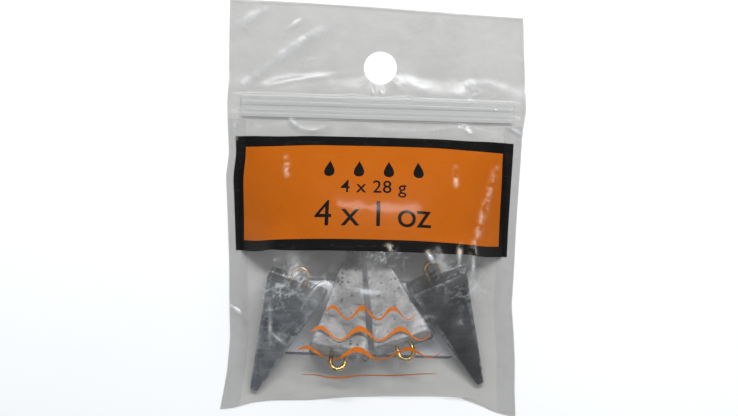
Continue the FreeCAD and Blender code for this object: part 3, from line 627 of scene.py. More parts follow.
# For each grid: steps, push of the air, and how firmly squeezed film pushes back.
LEVELS = ((260, 0.02, 0.6), (200, 0.01, 0.5), (120, 0.005, 0.4))


def refine(points):
    """The same surface with a point added halfway between each pair of neighbours."""
    for axis in (0, 1):
        points = np.moveaxis(points, axis, 0)
        finer = np.empty((2 * len(points) - 1, *points.shape[1:]))
        finer[::2] = points
        finer[1::2] = (points[:-1] + points[1:]) / 2
        points = np.moveaxis(finer, 0, axis)
    return points


def start_film(rows, columns):
    """A pillow: plan from the outline, and a height that is a half ellipse across and a sine along."""
    across, along = flat_grid(rows, columns, FILM_LOW, MOUTH)
    x, y = lay_flat(across, along)
    run = (along - FILM_LOW) / (MOUTH - FILM_LOW)
    dome = np.sqrt(np.clip(1 - (across / PILLOW_HALF) ** 2, 0, 1))
    dome *= np.sqrt(np.clip(np.sin(np.pi * run**0.8), 0, 1))
    band = np.abs(across) > WELD_INNER
    rim = FILM_REST + (BEAD_TOP - FILM_REST) * np.clip((run - MOUTH_RUN) / (1 - MOUTH_RUN), 0, 1) ** 2
    z = np.where(band | (run <= 0), rim, FILM_REST + PILLOW_HEIGHT * dome)
    z = np.where(run >= 1, BEAD_TOP, z)
    loose = ~band & (run > 0) & (run < 1)
    z[loose] += np.random.default_rng(7).normal(0, 0.15, loose.sum())
    return np.stack([x, y, z], axis=-1)


pouch = start_film(47, 49)
for number, (steps, air, squeeze) in enumerate(LEVELS):
    if number:
        pouch = refine(pouch)
    if number < 2 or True:
        pouch = drape(pouch, steps // (1), air, squeeze)
    print("level", number, "grid", pouch.shape[:2], "highest", round(float(pouch[..., 2].max()), 2))

# %% [markdown]
# ## Creases
# Handling leaves sharp little ridges in film. Each one is painted as a white streak: partly the real whitening of
# bent plastic, partly a painted highlight where the ridge catches the light.
# A crease is a short bent line: its start, the point it bends towards and its end in plan, then its
# height, half width and whiteness. A height below zero makes a furrow. The cross-section is a bell curve,
# and the crease fades towards both ends. Where film is pinched over a corner it crumples into a net of
# fine lines, painted white as real whitening and painted glints. Where it is pulled tight, a painted glare stands
# for the reflection of the light as a milky cloud. Both are round spots here.

# %% Crease table and its shape
CREASES = (
    ((-33.8, 30.2), (-23.4, 39.9), (-10.3, 46.8), 0.32, 1.50, 0.50),
    ((-31.0, 29.4), (-20.0, 37.4), (-7.0, 47.5), -0.25, 2.60, 0.14),
    ((-37.0, 44.4), (-33.9, 46.9), (-29.3, 49.0), 0.30, 1.50, 0.55),
    ((-24.0, 43.2), (-21.9, 45.8), (-19.0, 47.6), 0.25, 0.80, 0.40),
    ((4.6, 44.6), (7.4, 41.5), (6.0, 38.2), 0.15, 0.80, 0.25),
    ((20.9, 29.6), (24.0, 35.0), (31.3, 31.0), 0.12, 1.30, 0.34),
    ((4.6, 33.8), (9.0, 31.6), (14.0, 29.6), 0.10, 1.70, 0.36),
    ((-1.2, 30.6), (-1.1, 29.4), (-0.9, 28.2), 0.25, 0.40, 0.50),
    ((1.0, 30.6), (1.1, 29.4), (1.2, 28.2), 0.25, 0.40, 0.50),
    ((-29.4, 30.2), (-18.0, 32.6), (-5.5, 34.4), 0.12, 0.80, 0.24),
    ((-22.0, 21.8), (-20.9, 21.0), (-19.6, 20.1), 0.30, 0.45, 1.00),
    ((-22.0, 21.3), (-17.0, 18.6), (-11.8, 20.9), 0.40, 0.60, 0.50),
    ((-5.5, 21.2), (7.0, 18.4), (23.8, 21.9), 0.45, 0.65, 0.50),
    ((-3.0, 19.6), (9.0, 17.6), (20.0, 19.8), 0.30, 0.60, 0.30),
    ((-36.2, 22.0), (-36.0, 19.5), (-35.8, 16.6), 0.20, 0.45, 0.80),
    ((23.0, 20.9), (23.6, 20.4), (24.2, 19.9), 0.30, 0.50, 1.00),
    ((33.6, 21.4), (35.2, 20.6), (37.0, 19.4), 0.30, 0.50, 0.90),
    ((-22.6, 12.0), (-22.4, 10.0), (-22.2, 7.6), 0.35, 0.55, 0.80),
    ((19.9, 10.6), (20.1, 8.5), (20.4, 6.2), 0.35, 0.55, 0.70),
    ((30.4, 11.0), (27.2, -2.0), (24.3, -12.4), 0.55, 0.80, 0.40),
    ((21.6, -8.6), (21.6, -11.2), (21.4, -13.8), 0.35, 0.50, 0.80),
    ((25.2, -8.4), (25.2, -12.6), (25.0, -16.2), 0.45, 0.55, 0.90),
    ((3.6, -9.6), (4.2, -10.2), (5.0, -10.4), 0.40, 0.70, 1.00),
    ((13.6, -11.0), (14.4, -11.8), (15.0, -13.0), 0.40, 0.60, 1.00),
    ((-5.6, -20.3), (-1.4, -21.4), (2.8, -21.2), 0.25, 0.75, 1.00),
    ((-17.4, -25.6), (-11.6, -14.0), (-8.9, -23.6), 0.40, 0.50, 0.70),
    ((-25.6, -23.4), (-25.4, -29.0), (-25.2, -34.8), 0.35, 0.50, 0.80),
    ((-25.3, -31.6), (-23.6, -33.4), (-21.6, -34.6), 0.30, 0.45, 0.80),
    ((-37.0, -25.4), (-34.0, -27.4), (-31.6, -28.6), 0.35, 0.60, 0.70),
)
CREASE_STEPS = 24


def crease_fields(plan):
    """Height and whiteness that all creases add at plan points; the whiteness is part real whitening, part painted
    highlight.
    """
    height, white = np.zeros(plan.shape[:-1]), np.zeros(plan.shape[:-1])
    run = np.linspace(0, 1, CREASE_STEPS + 1)[:, None]
    for start, bend, end, rise, half_width, whiteness in CREASES:
        start, bend, end = (np.array(point) for point in (start, bend, end))
        line = start * (1 - run) ** 2 + 2 * bend * run * (1 - run) + end * run**2
        away = np.linalg.norm(plan[..., None, :] - line, axis=-1)
        nearest = away.argmin(axis=-1) / CREASE_STEPS
        strength = np.sin(np.pi * np.clip(nearest, 0.08, 0.92)) ** 0.5
        bell = np.exp(-((away.min(axis=-1) / half_width) ** 2)) * strength
        height += rise * bell
        white = np.maximum(white, whiteness * bell)
    return height, white


print(len(CREASES), "creases")

# %% Crumpled spots and painted glare spots, each with its middle in plan, its radius and its strength
CRUMPLES = (
    (-21.5, -21.5, 6.5, 0.9), (-25.5, -24.0, 4.0, 0.8), (-23.0, -33.0, 3.5, 0.6), (1.0, -14.0, 6.0, 0.8),
    (-12.0, -21.0, 5.0, 0.5), (23.0, -17.5, 6.0, 0.9), (-6.0, -36.5, 6.0, 0.6), (8.0, -34.5, 5.0, 0.6),
    (-35.0, 46.0, 4.5, 0.7), (24.0, 31.0, 5.0, 0.6), (-21.5, 12.0, 3.5, 0.7), (20.0, 8.0, 4.0, 0.6),
    (-34.5, 19.0, 4.0, 0.6), (5.0, -10.5, 4.0, 0.6), (32.0, 20.5, 4.0, 0.6), (9.0, 44.0, 4.5, 0.5),
)
# Painted glare: pale clouds that stand for the reflection of the light where film is pulled tight over the leads.
PAINTED_GLARE_SPOTS = (
    (0.0, -17.0, 6.5, 0.38), (-14.5, -22.5, 3.4, 0.34), (9.0, -19.0, 4.0, 0.24), (-6.0, -26.0, 5.0, 0.26),
    (7.0, -27.0, 5.5, 0.28), (21.0, -14.5, 3.0, 0.20), (-31.0, 34.0, 6.0, 0.22), (-17.0, 37.0, 8.0, 0.16),
    (8.0, 31.5, 4.0, 0.20),
)


def spots(points, table):
    """The sum of round bell curves, one for each row of a table."""
    x, y = points[..., 0], points[..., 1]
    return sum(strength * np.exp(-(((x - middle_x) ** 2 + (y - middle_y) ** 2) / radius**2))
               for middle_x, middle_y, radius, strength in table)


def crumple_and_glare_field(points):
    """Whiteness of the spots: a net of lines where a rough noise crosses zero, part real whitening and part
    painted glints, or a soft cloud of painted glare.
    """
    flat = points * np.array([1.0, 1.0, 0.0])
    wide = np.clip(1 - np.abs(rough_noise(flat, 5.0, 41)) / 0.07, 0, 1)
    narrow = np.clip(1 - np.abs(rough_noise(flat, 2.2, 51)) / 0.10, 0, 1)
    net = np.clip(spots(points, CRUMPLES), 0, 1) * np.maximum(wide, 0.7 * narrow)
    return np.maximum(net, spots(points, PAINTED_GLARE_SPOTS) * (0.75 + 0.25 * noise(flat, 3.0, 61)))


print(len(CRUMPLES), "crumpled and", len(PAINTED_GLARE_SPOTS), "milky spots")

# %% [markdown]
# ## From the mouth to the top of the header
# Above the pouch the film runs over the closing strip and then lies almost flat on the back film.
# It is never quite flat: long shallow waves run through it, and these carry the broad soft reflections.

# %% Header film
HEADER_ROWS = 76
HEADER_LEVEL = 1.15
STRIP_END, STRIP_FADE, EDGE_FADE = 28.1, 7.0, 3.5
# What the closing strip presses into the film: height, place along the film and half width.
STRIP_RIDGES = ((0.34, 27.6, 0.48), (0.22, 25.9, 0.42), (-0.30, 24.7, 0.80), (0.24, 23.1, 0.48))


def zipper_relief(along):
    """Height of the film over the closing strip: a sum of bell curves, the one below zero being a trough."""
    return sum(rise * np.exp(-(((along - middle) / width) ** 2)) for rise, middle, width in STRIP_RIDGES)


def header_film():
    """Rows of film points from the mouth to the top edge."""
    across, along = flat_grid(HEADER_ROWS, pouch.shape[1], MOUTH, FILM_TOP)
    x, y = lay_flat(across, along)
    place = np.stack([across, along * 0.7, 0 * across], axis=-1)
    waves = 0.50 * noise(place, 17.0, 3) + 0.20 * noise(place, 7.0, 4) + 0.05 * noise(place, 2.6, 5)
    over_strip = smoothstep(np.clip((STRIP_END + STRIP_FADE - along) / STRIP_FADE, 0, 1))
    edge = np.clip((FILM_WIDTH / 2 - np.abs(across)) / EDGE_FADE, 0, 1)
    level = BEAD_TOP * over_strip + (1 - over_strip) * (HEADER_LEVEL + edge * waves)
    level += zipper_relief(along) * edge
    return np.stack([x, y, level], axis=-1)


print("header rows", HEADER_ROWS)

# %% The whole front sheet
LOWEST, HIGHEST = 0.36, 17.4
PRESSED = 0.15

front = np.concatenate([pouch, header_film()[1:]])
front_along = np.concatenate([np.linspace(FILM_LOW, MOUTH, len(pouch)),
                              np.linspace(MOUTH, FILM_TOP, HEADER_ROWS)[1:]])
crease_height, crease_whitening_highlight_and_glare = crease_fields(front[..., :2])
crumple_and_glare = crumple_and_glare_field(front)
# The crumples and the painted glare join the whiteness of the creases.
crease_whitening_highlight_and_glare = np.maximum(crease_whitening_highlight_and_glare, 0.75 * crumple_and_glare)
front[..., 2] += crease_height + 0.06 * crumple_and_glare
front[..., 2] += 0.06 * rough_noise(front, 2.4, 21, octaves=2)
front[..., 2] = np.clip(front[..., 2], np.maximum(LOWEST, roof_height(front) - PRESSED), HIGHEST)
print("front sheet grid", front.shape[:2], "z", np.round([front[..., 2].min(), front[..., 2].max()], 2))

# %% [markdown]
# ## The hang hole
# A punch cuts the hole through both films at once. The square rings of the grid around it are bent into
# circles, which fade back to squares further out. So the cut edge is a true circle without a jagged cell.

# %% Punching a grid
HOLE = np.array([0.5, 35.6])
HOLE_RADIUS = 4.2


def punch(points, cells):
    """Bends the grid around the hole and marks what stays; cells is half the side of the removed square."""
    centre = np.unravel_index(np.linalg.norm(points[..., :2] - HOLE, axis=-1).argmin(), points.shape[:2])
    row, column = np.meshgrid(*(np.arange(size) - middle for size, middle in zip(points.shape[:2], centre)),
                              indexing="ij")
    ring = np.maximum(np.abs(row), np.abs(column))
    way = unit(np.stack([column, row], axis=-1).astype(float))
    circle = HOLE + way * (HOLE_RADIUS * ring / cells)[..., None]
    fade = smoothstep(np.clip((ring - cells) / (1.5 * cells), 0, 1))[..., None]
    bent = points.copy()
    bent[..., :2] = circle * (1 - fade) + points[..., :2] * fade
    bent[ring == 0, :2] = HOLE
    inside = np.maximum(ring[:-1, :-1], ring[1:, 1:]) <= cells
    inside &= np.maximum(ring[1:, :-1], ring[:-1, 1:]) <= cells
    return bent, ~inside.ravel()


front, front_kept = punch(front, cells=10)
print("cells punched out", int((~front_kept).sum()))

# %% [markdown]
# ## Clear film as a material
# Film hides a little of what is behind it, and it shines on both of its faces. So its alpha is low,
# its gloss is high, and creases, cut edges and cloudy patches are whiter than the rest.
# The whiteness of creases, crumples and glare spots is part real whitening and part painted highlight and painted
# reflection.

# %% Where the sticker is
def span(node):
    """Lowest and highest corner of a frame node, in millimetres."""
    low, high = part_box(node)
    return np.array(low) / MM, np.array(high) / MM


def sticker_depth(tree, place):
    """Distance in metres from the nearest edge of the back sticker's rectangle, positive inside it."""
    low, high = span("back_sticker")
    spot = add_node(tree, "ShaderNodeSeparateXYZ", {"Vector": place}).outputs
    depth = []
    for axis in (0, 1):
        middle, half = (low[axis] + high[axis]) / 2 * MM, (high[axis] - low[axis]) / 2 * MM
        away = math_node(tree, "ABSOLUTE", math_node(tree, "SUBTRACT", spot[axis], middle))
        depth.append(math_node(tree, "SUBTRACT", half, away))
    return math_node(tree, "MINIMUM", *depth)


print("sticker from", np.round(span("back_sticker")[0], 1), "to", np.round(span("back_sticker")[1], 1), "mm")

# %% Film material
FILM_IOR = 1.6


def stored(tree, name):
    """The number that is stored under a name at each vertex of a piece."""
    return add_node(tree, "ShaderNodeAttribute", attribute_name=name).outputs["Fac"]


def film_material(name, tint, cover, gloss, wetted=False):
    """Clear film: cover is its lowest alpha, tint its own colour. Glue behind wetted film clears it."""
    material, tree, shader, place = new_material(name)
    grain = place_group(tree, GRAIN, place, Scale=260.0, Pits=0.25)
    fine = place_group(tree, SCRATCHES, place, Scale=420.0, Turn=0.9, Width=0.012)
    # The crease attribute mixes the tint towards white and raises the alpha: part real whitening, part painted
    # highlight and painted glare.
    patchy = add_share(tree, 0.45, ramp(tree, grain["Grain"], 0.32, 0.56), 0.45)
    patchy_whitening_and_highlight = math_node(tree, "MULTIPLY", stored(tree, "crease"), patchy)
    marks = math_node(tree, "MULTIPLY", fine["Marks"], 0.03)
    white = add_share(tree, marks, patchy_whitening_and_highlight, 1.15, clamp=True)
    alpha = add_share(tree, cover, ramp(tree, grain["Patches"], 0.40, 0.66), 0.07)
    if wetted:
        glued = ramp(tree, sticker_depth(tree, place), -0.1 * MM, 0.1 * MM)
        alpha = add_share(tree, alpha, glued, -0.42)
    alpha = add_share(tree, alpha, white, 0.62)
    plug_in(tree, shader, {
        "Base Color": mix_colour(tree, white, tint, srgb(236, 240, 244)),
        "Alpha": add_share(tree, alpha, stored(tree, "edge"), 0.30, clamp=True),
        "Roughness": gloss, "IOR": FILM_IOR, "Coat Weight": 1.0, "Coat IOR": FILM_IOR, "Coat Roughness": 0.21,
    })
    add_bump(tree, shader, grain["Grain"], 0.0006, 0.25)
    return material


FRONT_FILM = film_material("front_film", srgb(184, 183, 180), 0.06, 0.26)
BACK_FILM = film_material("back_film", srgb(184, 182, 177), 0.66, 0.30, wetted=True)
print("film nodes", len(FRONT_FILM.node_tree.nodes), "in front and", len(BACK_FILM.node_tree.nodes), "behind")

# %% The front sheet as a piece
CUT_EDGE = 0.6


def add_attribute(piece, name, values):
    """A number at each vertex, which a material can read by name."""
    attribute = piece.data.attributes.new(name, "FLOAT", "POINT")
    attribute.data.foreach_set("value", np.asarray(values, np.float32).ravel())


def edge_mask(points):
    """One at the cut border of a grid, falling to zero over the width of a cut edge."""
    rows, columns = points.shape[:2]
    row, column = np.meshgrid(np.arange(rows), np.arange(columns), indexing="ij")
    inwards = np.minimum(np.minimum(row, rows - 1 - row), np.minimum(column, columns - 1 - column))
    return np.clip(1 - inwards * FILM_WIDTH / (columns - 1) / CUT_EDGE, 0, 1)


front_sheet = new_piece("front_sheet", front, grid_quads(*front.shape[:2])[front_kept], FRONT_FILM)
# The crease attribute carries real whitening together with painted highlights and painted glare.
add_attribute(front_sheet, "crease", crease_whitening_highlight_and_glare)
add_attribute(front_sheet, "edge", edge_mask(front))
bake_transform(front_sheet)
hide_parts("front_film", "front_lip")
print("front sheet faces", len(front_sheet.data.polygons))

# %% Back film, flat on the table and cut and punched with the front
BACK_Z = 0.17
BACK_ROWS, BACK_COLUMNS = 131, 97


def back_film_points():
    """The same outline at a coarser step, with faint waves inside the thickness of the film."""
    across, along = flat_grid(BACK_ROWS, BACK_COLUMNS, FILM_LOW, FILM_TOP)
    x, y = lay_flat(across, along)
    place = np.stack([x, y, 0 * x], axis=-1)
    return np.stack([x, y, BACK_Z + 0.05 * noise(place, 9.0, 11)], axis=-1)


back, back_kept = punch(back_film_points(), cells=5)
back_sheet = new_piece("back_sheet", back, grid_quads(*back.shape[:2])[back_kept], BACK_FILM)
add_attribute(back_sheet, "crease", 0.25 * np.clip(noise(back, 5.0, 12) - 0.5, 0, 1))
add_attribute(back_sheet, "edge", edge_mask(back))
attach(back_sheet, "bag")
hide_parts("back_film")
print("back sheet faces", len(back_sheet.data.polygons))

# %% [markdown]
# ## Side welds
# A hot bar melts the two films into one along each side. Its fine ribs are pressed into the plastic.
# Each weld is a ribbon that follows the edge of the bag, with a rib at every 1.2 mm.

# %% Side welds
WELD_WIDTH = 4.6
WELD_LOW, WELD_HIGH = -51.6, 21.8
WELD_Z = 0.29
RIB_PITCH, RIB_HEIGHT = 1.2, 0.05


def weld_points(edge, inwards):
    """Ribbon between the two films: the ribs are a cosine along it, and they fade towards its sides."""
    stations, steps = np.arange(WELD_LOW, WELD_HIGH, 0.2), np.linspace(0.25, WELD_WIDTH, 13)
    y, across = np.meshgrid(stations, steps, indexing="ij")
    x = edge(y) + inwards * across
    y = np.maximum(y, fold_edge(x) + 0.3)
    ribs = 0.5 + 0.5 * np.cos(2 * np.pi * y / RIB_PITCH)
    height = WELD_Z + RIB_HEIGHT * ribs * np.sin(np.pi * (across - 0.2) / WELD_WIDTH) ** 0.5
    return np.stack([x, y, height], axis=-1)


def weld_material():
    """Melted film: a little whiter and rougher than the film itself."""
    material, tree, shader, place = new_material("weld")
    grain = place_group(tree, GRAIN, place, Scale=500.0, Pits=0.3)
    tint = mix_colour(tree, grain["Patches"], srgb(168, 168, 166), srgb(205, 207, 208))
    alpha = add_share(tree, 0.16, grain["Grain"], 0.16)
    plug_in(tree, shader, {"Base Color": tint, "Alpha": alpha, "Roughness": 0.28})
    add_bump(tree, shader, grain["Grain"], 0.0004, 0.3)
    return material


WELD = weld_material()
for side, edge, inwards in (("left", left_edge, 1.0), ("right", right_edge, -1.0)):
    points = weld_points(edge, inwards)
    ribbon = new_piece(f"weld_ribbon_{side}", points, grid_quads(*points.shape[:2])[:, ::int(inwards)], WELD)
    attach(ribbon, "bag")
    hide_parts(f"side_weld_{side}")
    print("weld", side, "faces", len(ribbon.data.polygons))

# %% [markdown]
# ## The closing strip
# The strip is two extruded profiles. The lower one has a pair of hooked rails on a flat tape,
# and the upper one has an arrow-headed rib that snaps between them. The side bar crushes both at their ends.
# A profile is a closed line in the Y and Z plane, repeated along X.

# %% Closing strip
GROOVE_PROFILE = ((22.35, 0.27), (28.05, 0.27), (28.05, 0.40), (26.55, 0.42), (26.5, 1.02), (26.30, 1.18),
                  (25.78, 1.20), (25.80, 1.08), (26.10, 1.02), (26.12, 0.44), (24.28, 0.44), (24.30, 1.02),
                  (24.60, 1.08), (24.62, 1.20), (24.10, 1.18), (23.90, 1.02), (23.85, 0.42), (22.35, 0.40))
BEAD_PROFILE = ((22.35, 1.44), (24.95, 1.42), (25.00, 1.04), (24.66, 0.92), (24.74, 0.82), (25.20, 0.68),
                (25.66, 0.82), (25.74, 0.92), (25.40, 1.04), (25.45, 1.42), (28.05, 1.44), (28.05, 1.58),
                (26.40, 1.60), (23.90, 1.60), (22.35, 1.58))
STRIP_HALF = 34.4
CRUSHED_LENGTH, CRUSHED_SHARE = 2.6, 0.35


def close_shell(piece):
    """Merges points that fall on each other, splits large end faces and turns every face outwards."""
    work = bmesh.new()
    work.from_mesh(piece.data)
    bmesh.ops.remove_doubles(work, verts=work.verts, dist=1e-6)
    bmesh.ops.triangulate(work, faces=[face for face in work.faces if len(face.verts) > 4])
    bmesh.ops.recalc_face_normals(work, faces=work.faces)
    work.to_mesh(piece.data)
    work.free()


def extrude_profile(profile, squash_to):
    """The closed profile at stations along X; near each end its heights shrink towards squash_to."""
    profile = np.array(profile)
    stations = np.linspace(-STRIP_HALF, STRIP_HALF, 173)
    whole = smoothstep(np.clip((STRIP_HALF - np.abs(stations)) / CRUSHED_LENGTH, 0, 1))
    whole = (CRUSHED_SHARE + (1 - CRUSHED_SHARE) * whole)[:, None]
    x = np.repeat(stations[:, None], len(profile), axis=1)
    y = np.repeat(profile[None, :, 0], len(stations), axis=0)
    return np.stack([x, y, squash_to + (profile[None, :, 1] - squash_to) * whole], axis=-1)


def zipper_material():
    """Milky extruded plastic, cloudy in long patches."""
    material, tree, shader, place = new_material("zipper")
    stretched = add_node(tree, "ShaderNodeMapping", {"Vector": place, "Scale": (0.1, 1.0, 1.0)}).outputs[0]
    grain = place_group(tree, GRAIN, stretched, Scale=300.0, Pits=0.1)
    tint = mix_colour(tree, grain["Patches"], srgb(200, 200, 198), srgb(214, 214, 212))
    alpha = add_share(tree, 0.34, grain["Patches"], 0.14)
    plug_in(tree, shader, {"Base Color": tint, "Alpha": alpha, "Roughness": 0.38, "Coat Weight": 0.25})
    return material


ZIPPER = zipper_material()
for name, profile, level, body, node in (("strip_rails", GROOVE_PROFILE, 0.27, "bag", "zipper_groove"),
                                         ("strip_rib", BEAD_PROFILE, 1.58, "lip", "zipper_bead")):
    points = extrude_profile(profile, level)
    rows, columns = points.shape[:2]
    faces = grid_quads(rows, columns, wrap=True).tolist()
    faces += [list(range(columns)), list(range((rows - 1) * columns, rows * columns))[::-1]]
    strip = new_piece(name, points, faces, ZIPPER, smooth=False)
    close_shell(strip)
    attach(strip, body)
    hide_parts(node)
    print(name, "stations", rows, "corners", columns)

# %% [markdown]
# ## Ink on the film
# The label and the ornament are printed on flat film before the bag is made, so they bend with it.
# Each print is laid out in the flat film's own millimetres. Then every point is carried to where
# that spot of film went, and lifted by the thickness of the ink.

# %% Carrying flat artwork on to the film
def grid_normals(points):
    """Upward unit normals of a grid: the cross product of its two directions at each point."""
    return unit(np.cross(np.gradient(points, axis=1), np.gradient(points, axis=0)))


front_normals = grid_normals(front)


def on_film(across, along, lift):
    """Where flat artwork lies on the film, raised by a lift along the film's normal."""
    column = (across / FILM_WIDTH + 0.5) * (front.shape[1] - 1)
    row = np.interp(along, front_along, np.arange(len(front_along)))
    return read_grid(front + lift * front_normals, row, column)


def film_row(y):
    """How far along the cut film its middle line reaches a height in plan."""
    return float(np.interp(y, front[:, front.shape[1] // 2, 1], front_along))


# The label's edges in the flat film: its sides, and the rows that lie at its lower and upper edge in plan.
LABEL_SIDES = (-36.2, 36.0)
LABEL_ENDS = (film_row(-10.85), film_row(17.75))
print("label in the flat, mm", np.round(LABEL_SIDES, 1), np.round(LABEL_ENDS, 1))

# %% Ink materials
def ink_material(name, first, second, cover, sheen):
    """Printed ink: patchy in its thin places, and pale where the film is creased: partly worn ink, partly a
    painted highlight.
    """
    material, tree, shader, place = new_material(name)
    grain = place_group(tree, GRAIN, place, Scale=420.0, Pits=0.2)
    fine = place_group(tree, SCRATCHES, place, Scale=500.0, Turn=1.1, Width=0.01)
    ink = mix_colour(tree, grain["Patches"], first, second)
    # Pale where the crease attribute is high: part worn ink, part painted highlight along the film's creases.
    worn = math_node(tree, "MULTIPLY", stored(tree, "crease"), ramp(tree, grain["Grain"], 0.38, 0.62))
    worn = add_share(tree, worn, fine["Marks"], 0.012, clamp=True)
    plug_in(tree, shader, {
        "Base Color": mix_colour(tree, worn, ink, srgb(242, 226, 205)),
        "Alpha": add_share(tree, cover, ramp(tree, grain["Grain"], 0.30, 0.46), 1.0 - cover, clamp=True),
        "Roughness": sheen, "Specular IOR Level": 0.06, "Coat Weight": 0.10, "Coat Roughness": 0.14,
    })
    add_bump(tree, shader, grain["Grain"], 0.0004, 0.25)
    return material


ORANGE = ink_material("orange_ink", srgb(170, 84, 6), srgb(178, 90, 8), 0.97, 0.55)
BLACK = ink_material("black_ink", srgb(8, 7, 7), srgb(13, 11, 10), 0.98, 0.55)
ORNAMENT = ink_material("ornament_ink", srgb(184, 94, 18), srgb(206, 116, 38), 0.46, 0.46)
print("inks", ORANGE.name, BLACK.name, ORNAMENT.name)

# %% Label: a black frame around an orange field
FRAME_INK = 2.7


def printed(name, across, along, faces, lift, material, node):
    """One ink layer on the film, with the film's own creases carried over to it."""
    points = on_film(across, along, lift)
    piece = new_piece(name, points, faces, material)
    add_attribute(piece, "crease", crease_fields(points[..., :2])[1])
    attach(piece, "bag")
    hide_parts(node)
    print(name, "faces", len(piece.data.polygons))


def label_lines(low, high, inner_low, inner_high, step=0.45):
    """Grid lines across a label, with lines exactly on the inner edges of its frame."""
    spans = ((low, inner_low), (inner_low, inner_high), (inner_high, high))
    pieces = [np.linspace(a, b, max(2, int(round((b - a) / step)) + 1))[:-1] for a, b in spans]
    return np.append(np.concatenate(pieces), high)


field_sides = (LABEL_SIDES[0] + FRAME_INK, LABEL_SIDES[1] - FRAME_INK)
field_ends = (LABEL_ENDS[0] + FRAME_INK, LABEL_ENDS[1] - FRAME_INK)
columns, rows = label_lines(*LABEL_SIDES, *field_sides), label_lines(*LABEL_ENDS, *field_ends)
label_across, label_along = np.meshgrid(columns, rows)
label_quads = grid_quads(*label_across.shape)
cell_x, cell_y = np.meshgrid((columns[1:] + columns[:-1]) / 2, (rows[1:] + rows[:-1]) / 2)
in_field = (cell_x > field_sides[0]) & (cell_x < field_sides[1])
in_field = (in_field & (cell_y > field_ends[0]) & (cell_y < field_ends[1])).ravel()


def without_strays(points, faces):
    """Only the points that the faces use, and the faces renumbered to match."""
    used, numbers = np.unique(faces, return_inverse=True)
    return [np.ravel(values)[used] for values in points], numbers.reshape(np.shape(faces))


for name, chosen, material, node in (("ink_field", in_field, ORANGE, "label_panel"),
                                     ("ink_frame", ~in_field, BLACK, "label_border")):
    (across, along), faces = without_strays((label_across, label_along), label_quads[chosen])
    printed(name, across, along, faces, 0.05, material, node)

# %% Flat letters and shapes
CUT_STEP = 0.8


def flat_shape(outline):
    """A flat face filled from an outline of points."""
    work = bmesh.new()
    work.faces.new([work.verts.new((x, y, 0.0)) for x, y in outline])
    return work


def flat_text(body, height, spacing, weight, middle):
    """Text from the built-in letters as a flat mesh, scaled to a height and centred on a point."""
    data = bpy.data.curves.new("letters", "FONT")
    data.body, data.size, data.space_character = body, 1.0, spacing
    data.offset = weight
    data.resolution_u = 6
    text = bpy.data.objects.new("letters", data)
    bpy.context.scene.collection.objects.link(text)
    mesh = bpy.data.meshes.new_from_object(text.evaluated_get(bpy.context.evaluated_depsgraph_get()))
    bpy.data.objects.remove(text)
    corners = vertices(mesh)
    low, high = corners.min(axis=0), corners.max(axis=0)
    corners = (corners - (low + high) / 2) * height / (high[1] - low[1]) + np.array([*middle, 0.0])
    mesh.vertices.foreach_set("co", corners.ravel())
    work = bmesh.new()
    work.from_mesh(mesh)
    return work


def cut_to_cells(work, step=CUT_STEP):
    """Slices a flat mesh along a square lattice, so that it can follow a curved film."""
    corners = np.array([vertex.co[:2] for vertex in work.verts])
    for axis in (0, 1):
        for at in np.arange(corners[:, axis].min() + step / 2, corners[:, axis].max(), step):
            normal = (1.0, 0.0, 0.0) if axis == 0 else (0.0, 1.0, 0.0)
            plane_point = (at, 0.0, 0.0) if axis == 0 else (0.0, at, 0.0)
            everything = work.verts[:] + work.edges[:] + work.faces[:]
            bmesh.ops.bisect_plane(work, geom=everything, plane_co=plane_point, plane_no=normal, dist=1e-5)
    bmesh.ops.triangulate(work, faces=work.faces)
    work.verts.index_update()
    points = np.array([vertex.co[:2] for vertex in work.verts])
    faces = np.array([[vertex.index for vertex in face.verts] for face in work.faces])
    work.free()
    return points, faces


print("flat shapes are cut every", CUT_STEP, "mm")

# %% Label marks: four drops, a small line of figures and a large one
def drop_outline(middle, size):
    """A falling drop: along it the cosine of t, across it sin t times the sine of half t to a power."""
    turn = np.linspace(0, 2 * np.pi, 33)[:-1]
    x = middle[0] + size * 0.42 * np.sin(turn) * np.sin(turn / 2) ** 1.6
    y = middle[1] + size * 0.5 * np.cos(turn)
    return np.stack([x, y], axis=-1)


def join_flat(parts):
    """Several flat meshes as one list of points and one of faces."""
    points = np.concatenate([part[0] for part in parts])
    starts = np.cumsum([0] + [len(part[0]) for part in parts[:-1]])
    return points, np.concatenate([part[1] + start for part, start in zip(parts, starts)])


DROP_PLACES, DROP_SIZE = (-10.5, -3.5, 3.5, 10.5), 4.2
drop_row, small_row, large_row = (film_row(y) for y in (9.7, 4.8, -1.4))
marks = [flat_shape(drop_outline((at, drop_row), DROP_SIZE)) for at in DROP_PLACES]
marks.append(flat_text("4 x 28 g", 4.1, 1.05, 0.006, (0.0, small_row)))
marks.append(flat_text("4 x 1 oz", 6.0, 0.95, 0.0, (0.0, large_row)))
points, faces = join_flat([cut_to_cells(mark) for mark in marks])
printed("ink_marks", points[:, 0], points[:, 1], faces, 0.09, BLACK, "label_marks")

# %% Ornament: three rows of waves over a rule, in thin orange ink
WAVE_ROWS = ((-26.4, 20.4), (-31.6, 27.2), (-36.8, 34.0))
WAVES = 3
SWING, HALF_STROKE, SWELL = 1.35, 0.44, 0.22
RULE_ROW, RULE_WIDTH, RULE_HALF = -42.0, 34.0, 0.26


def wave_ribbon(y, width):
    """A ribbon along a sine curve, thicker on its crests and narrowing to points at its ends."""
    run, side = np.meshgrid(np.linspace(0, 1, 121), np.linspace(-1, 1, 4))
    wave = np.sin(2 * np.pi * WAVES * run)
    half = (HALF_STROKE + SWELL * wave) * np.sin(np.pi * run) ** 0.35
    along = film_row(y) + SWING * wave + side * half
    return np.stack([((run - 0.5) * width).ravel(), along.ravel()], axis=-1), grid_quads(4, 121)


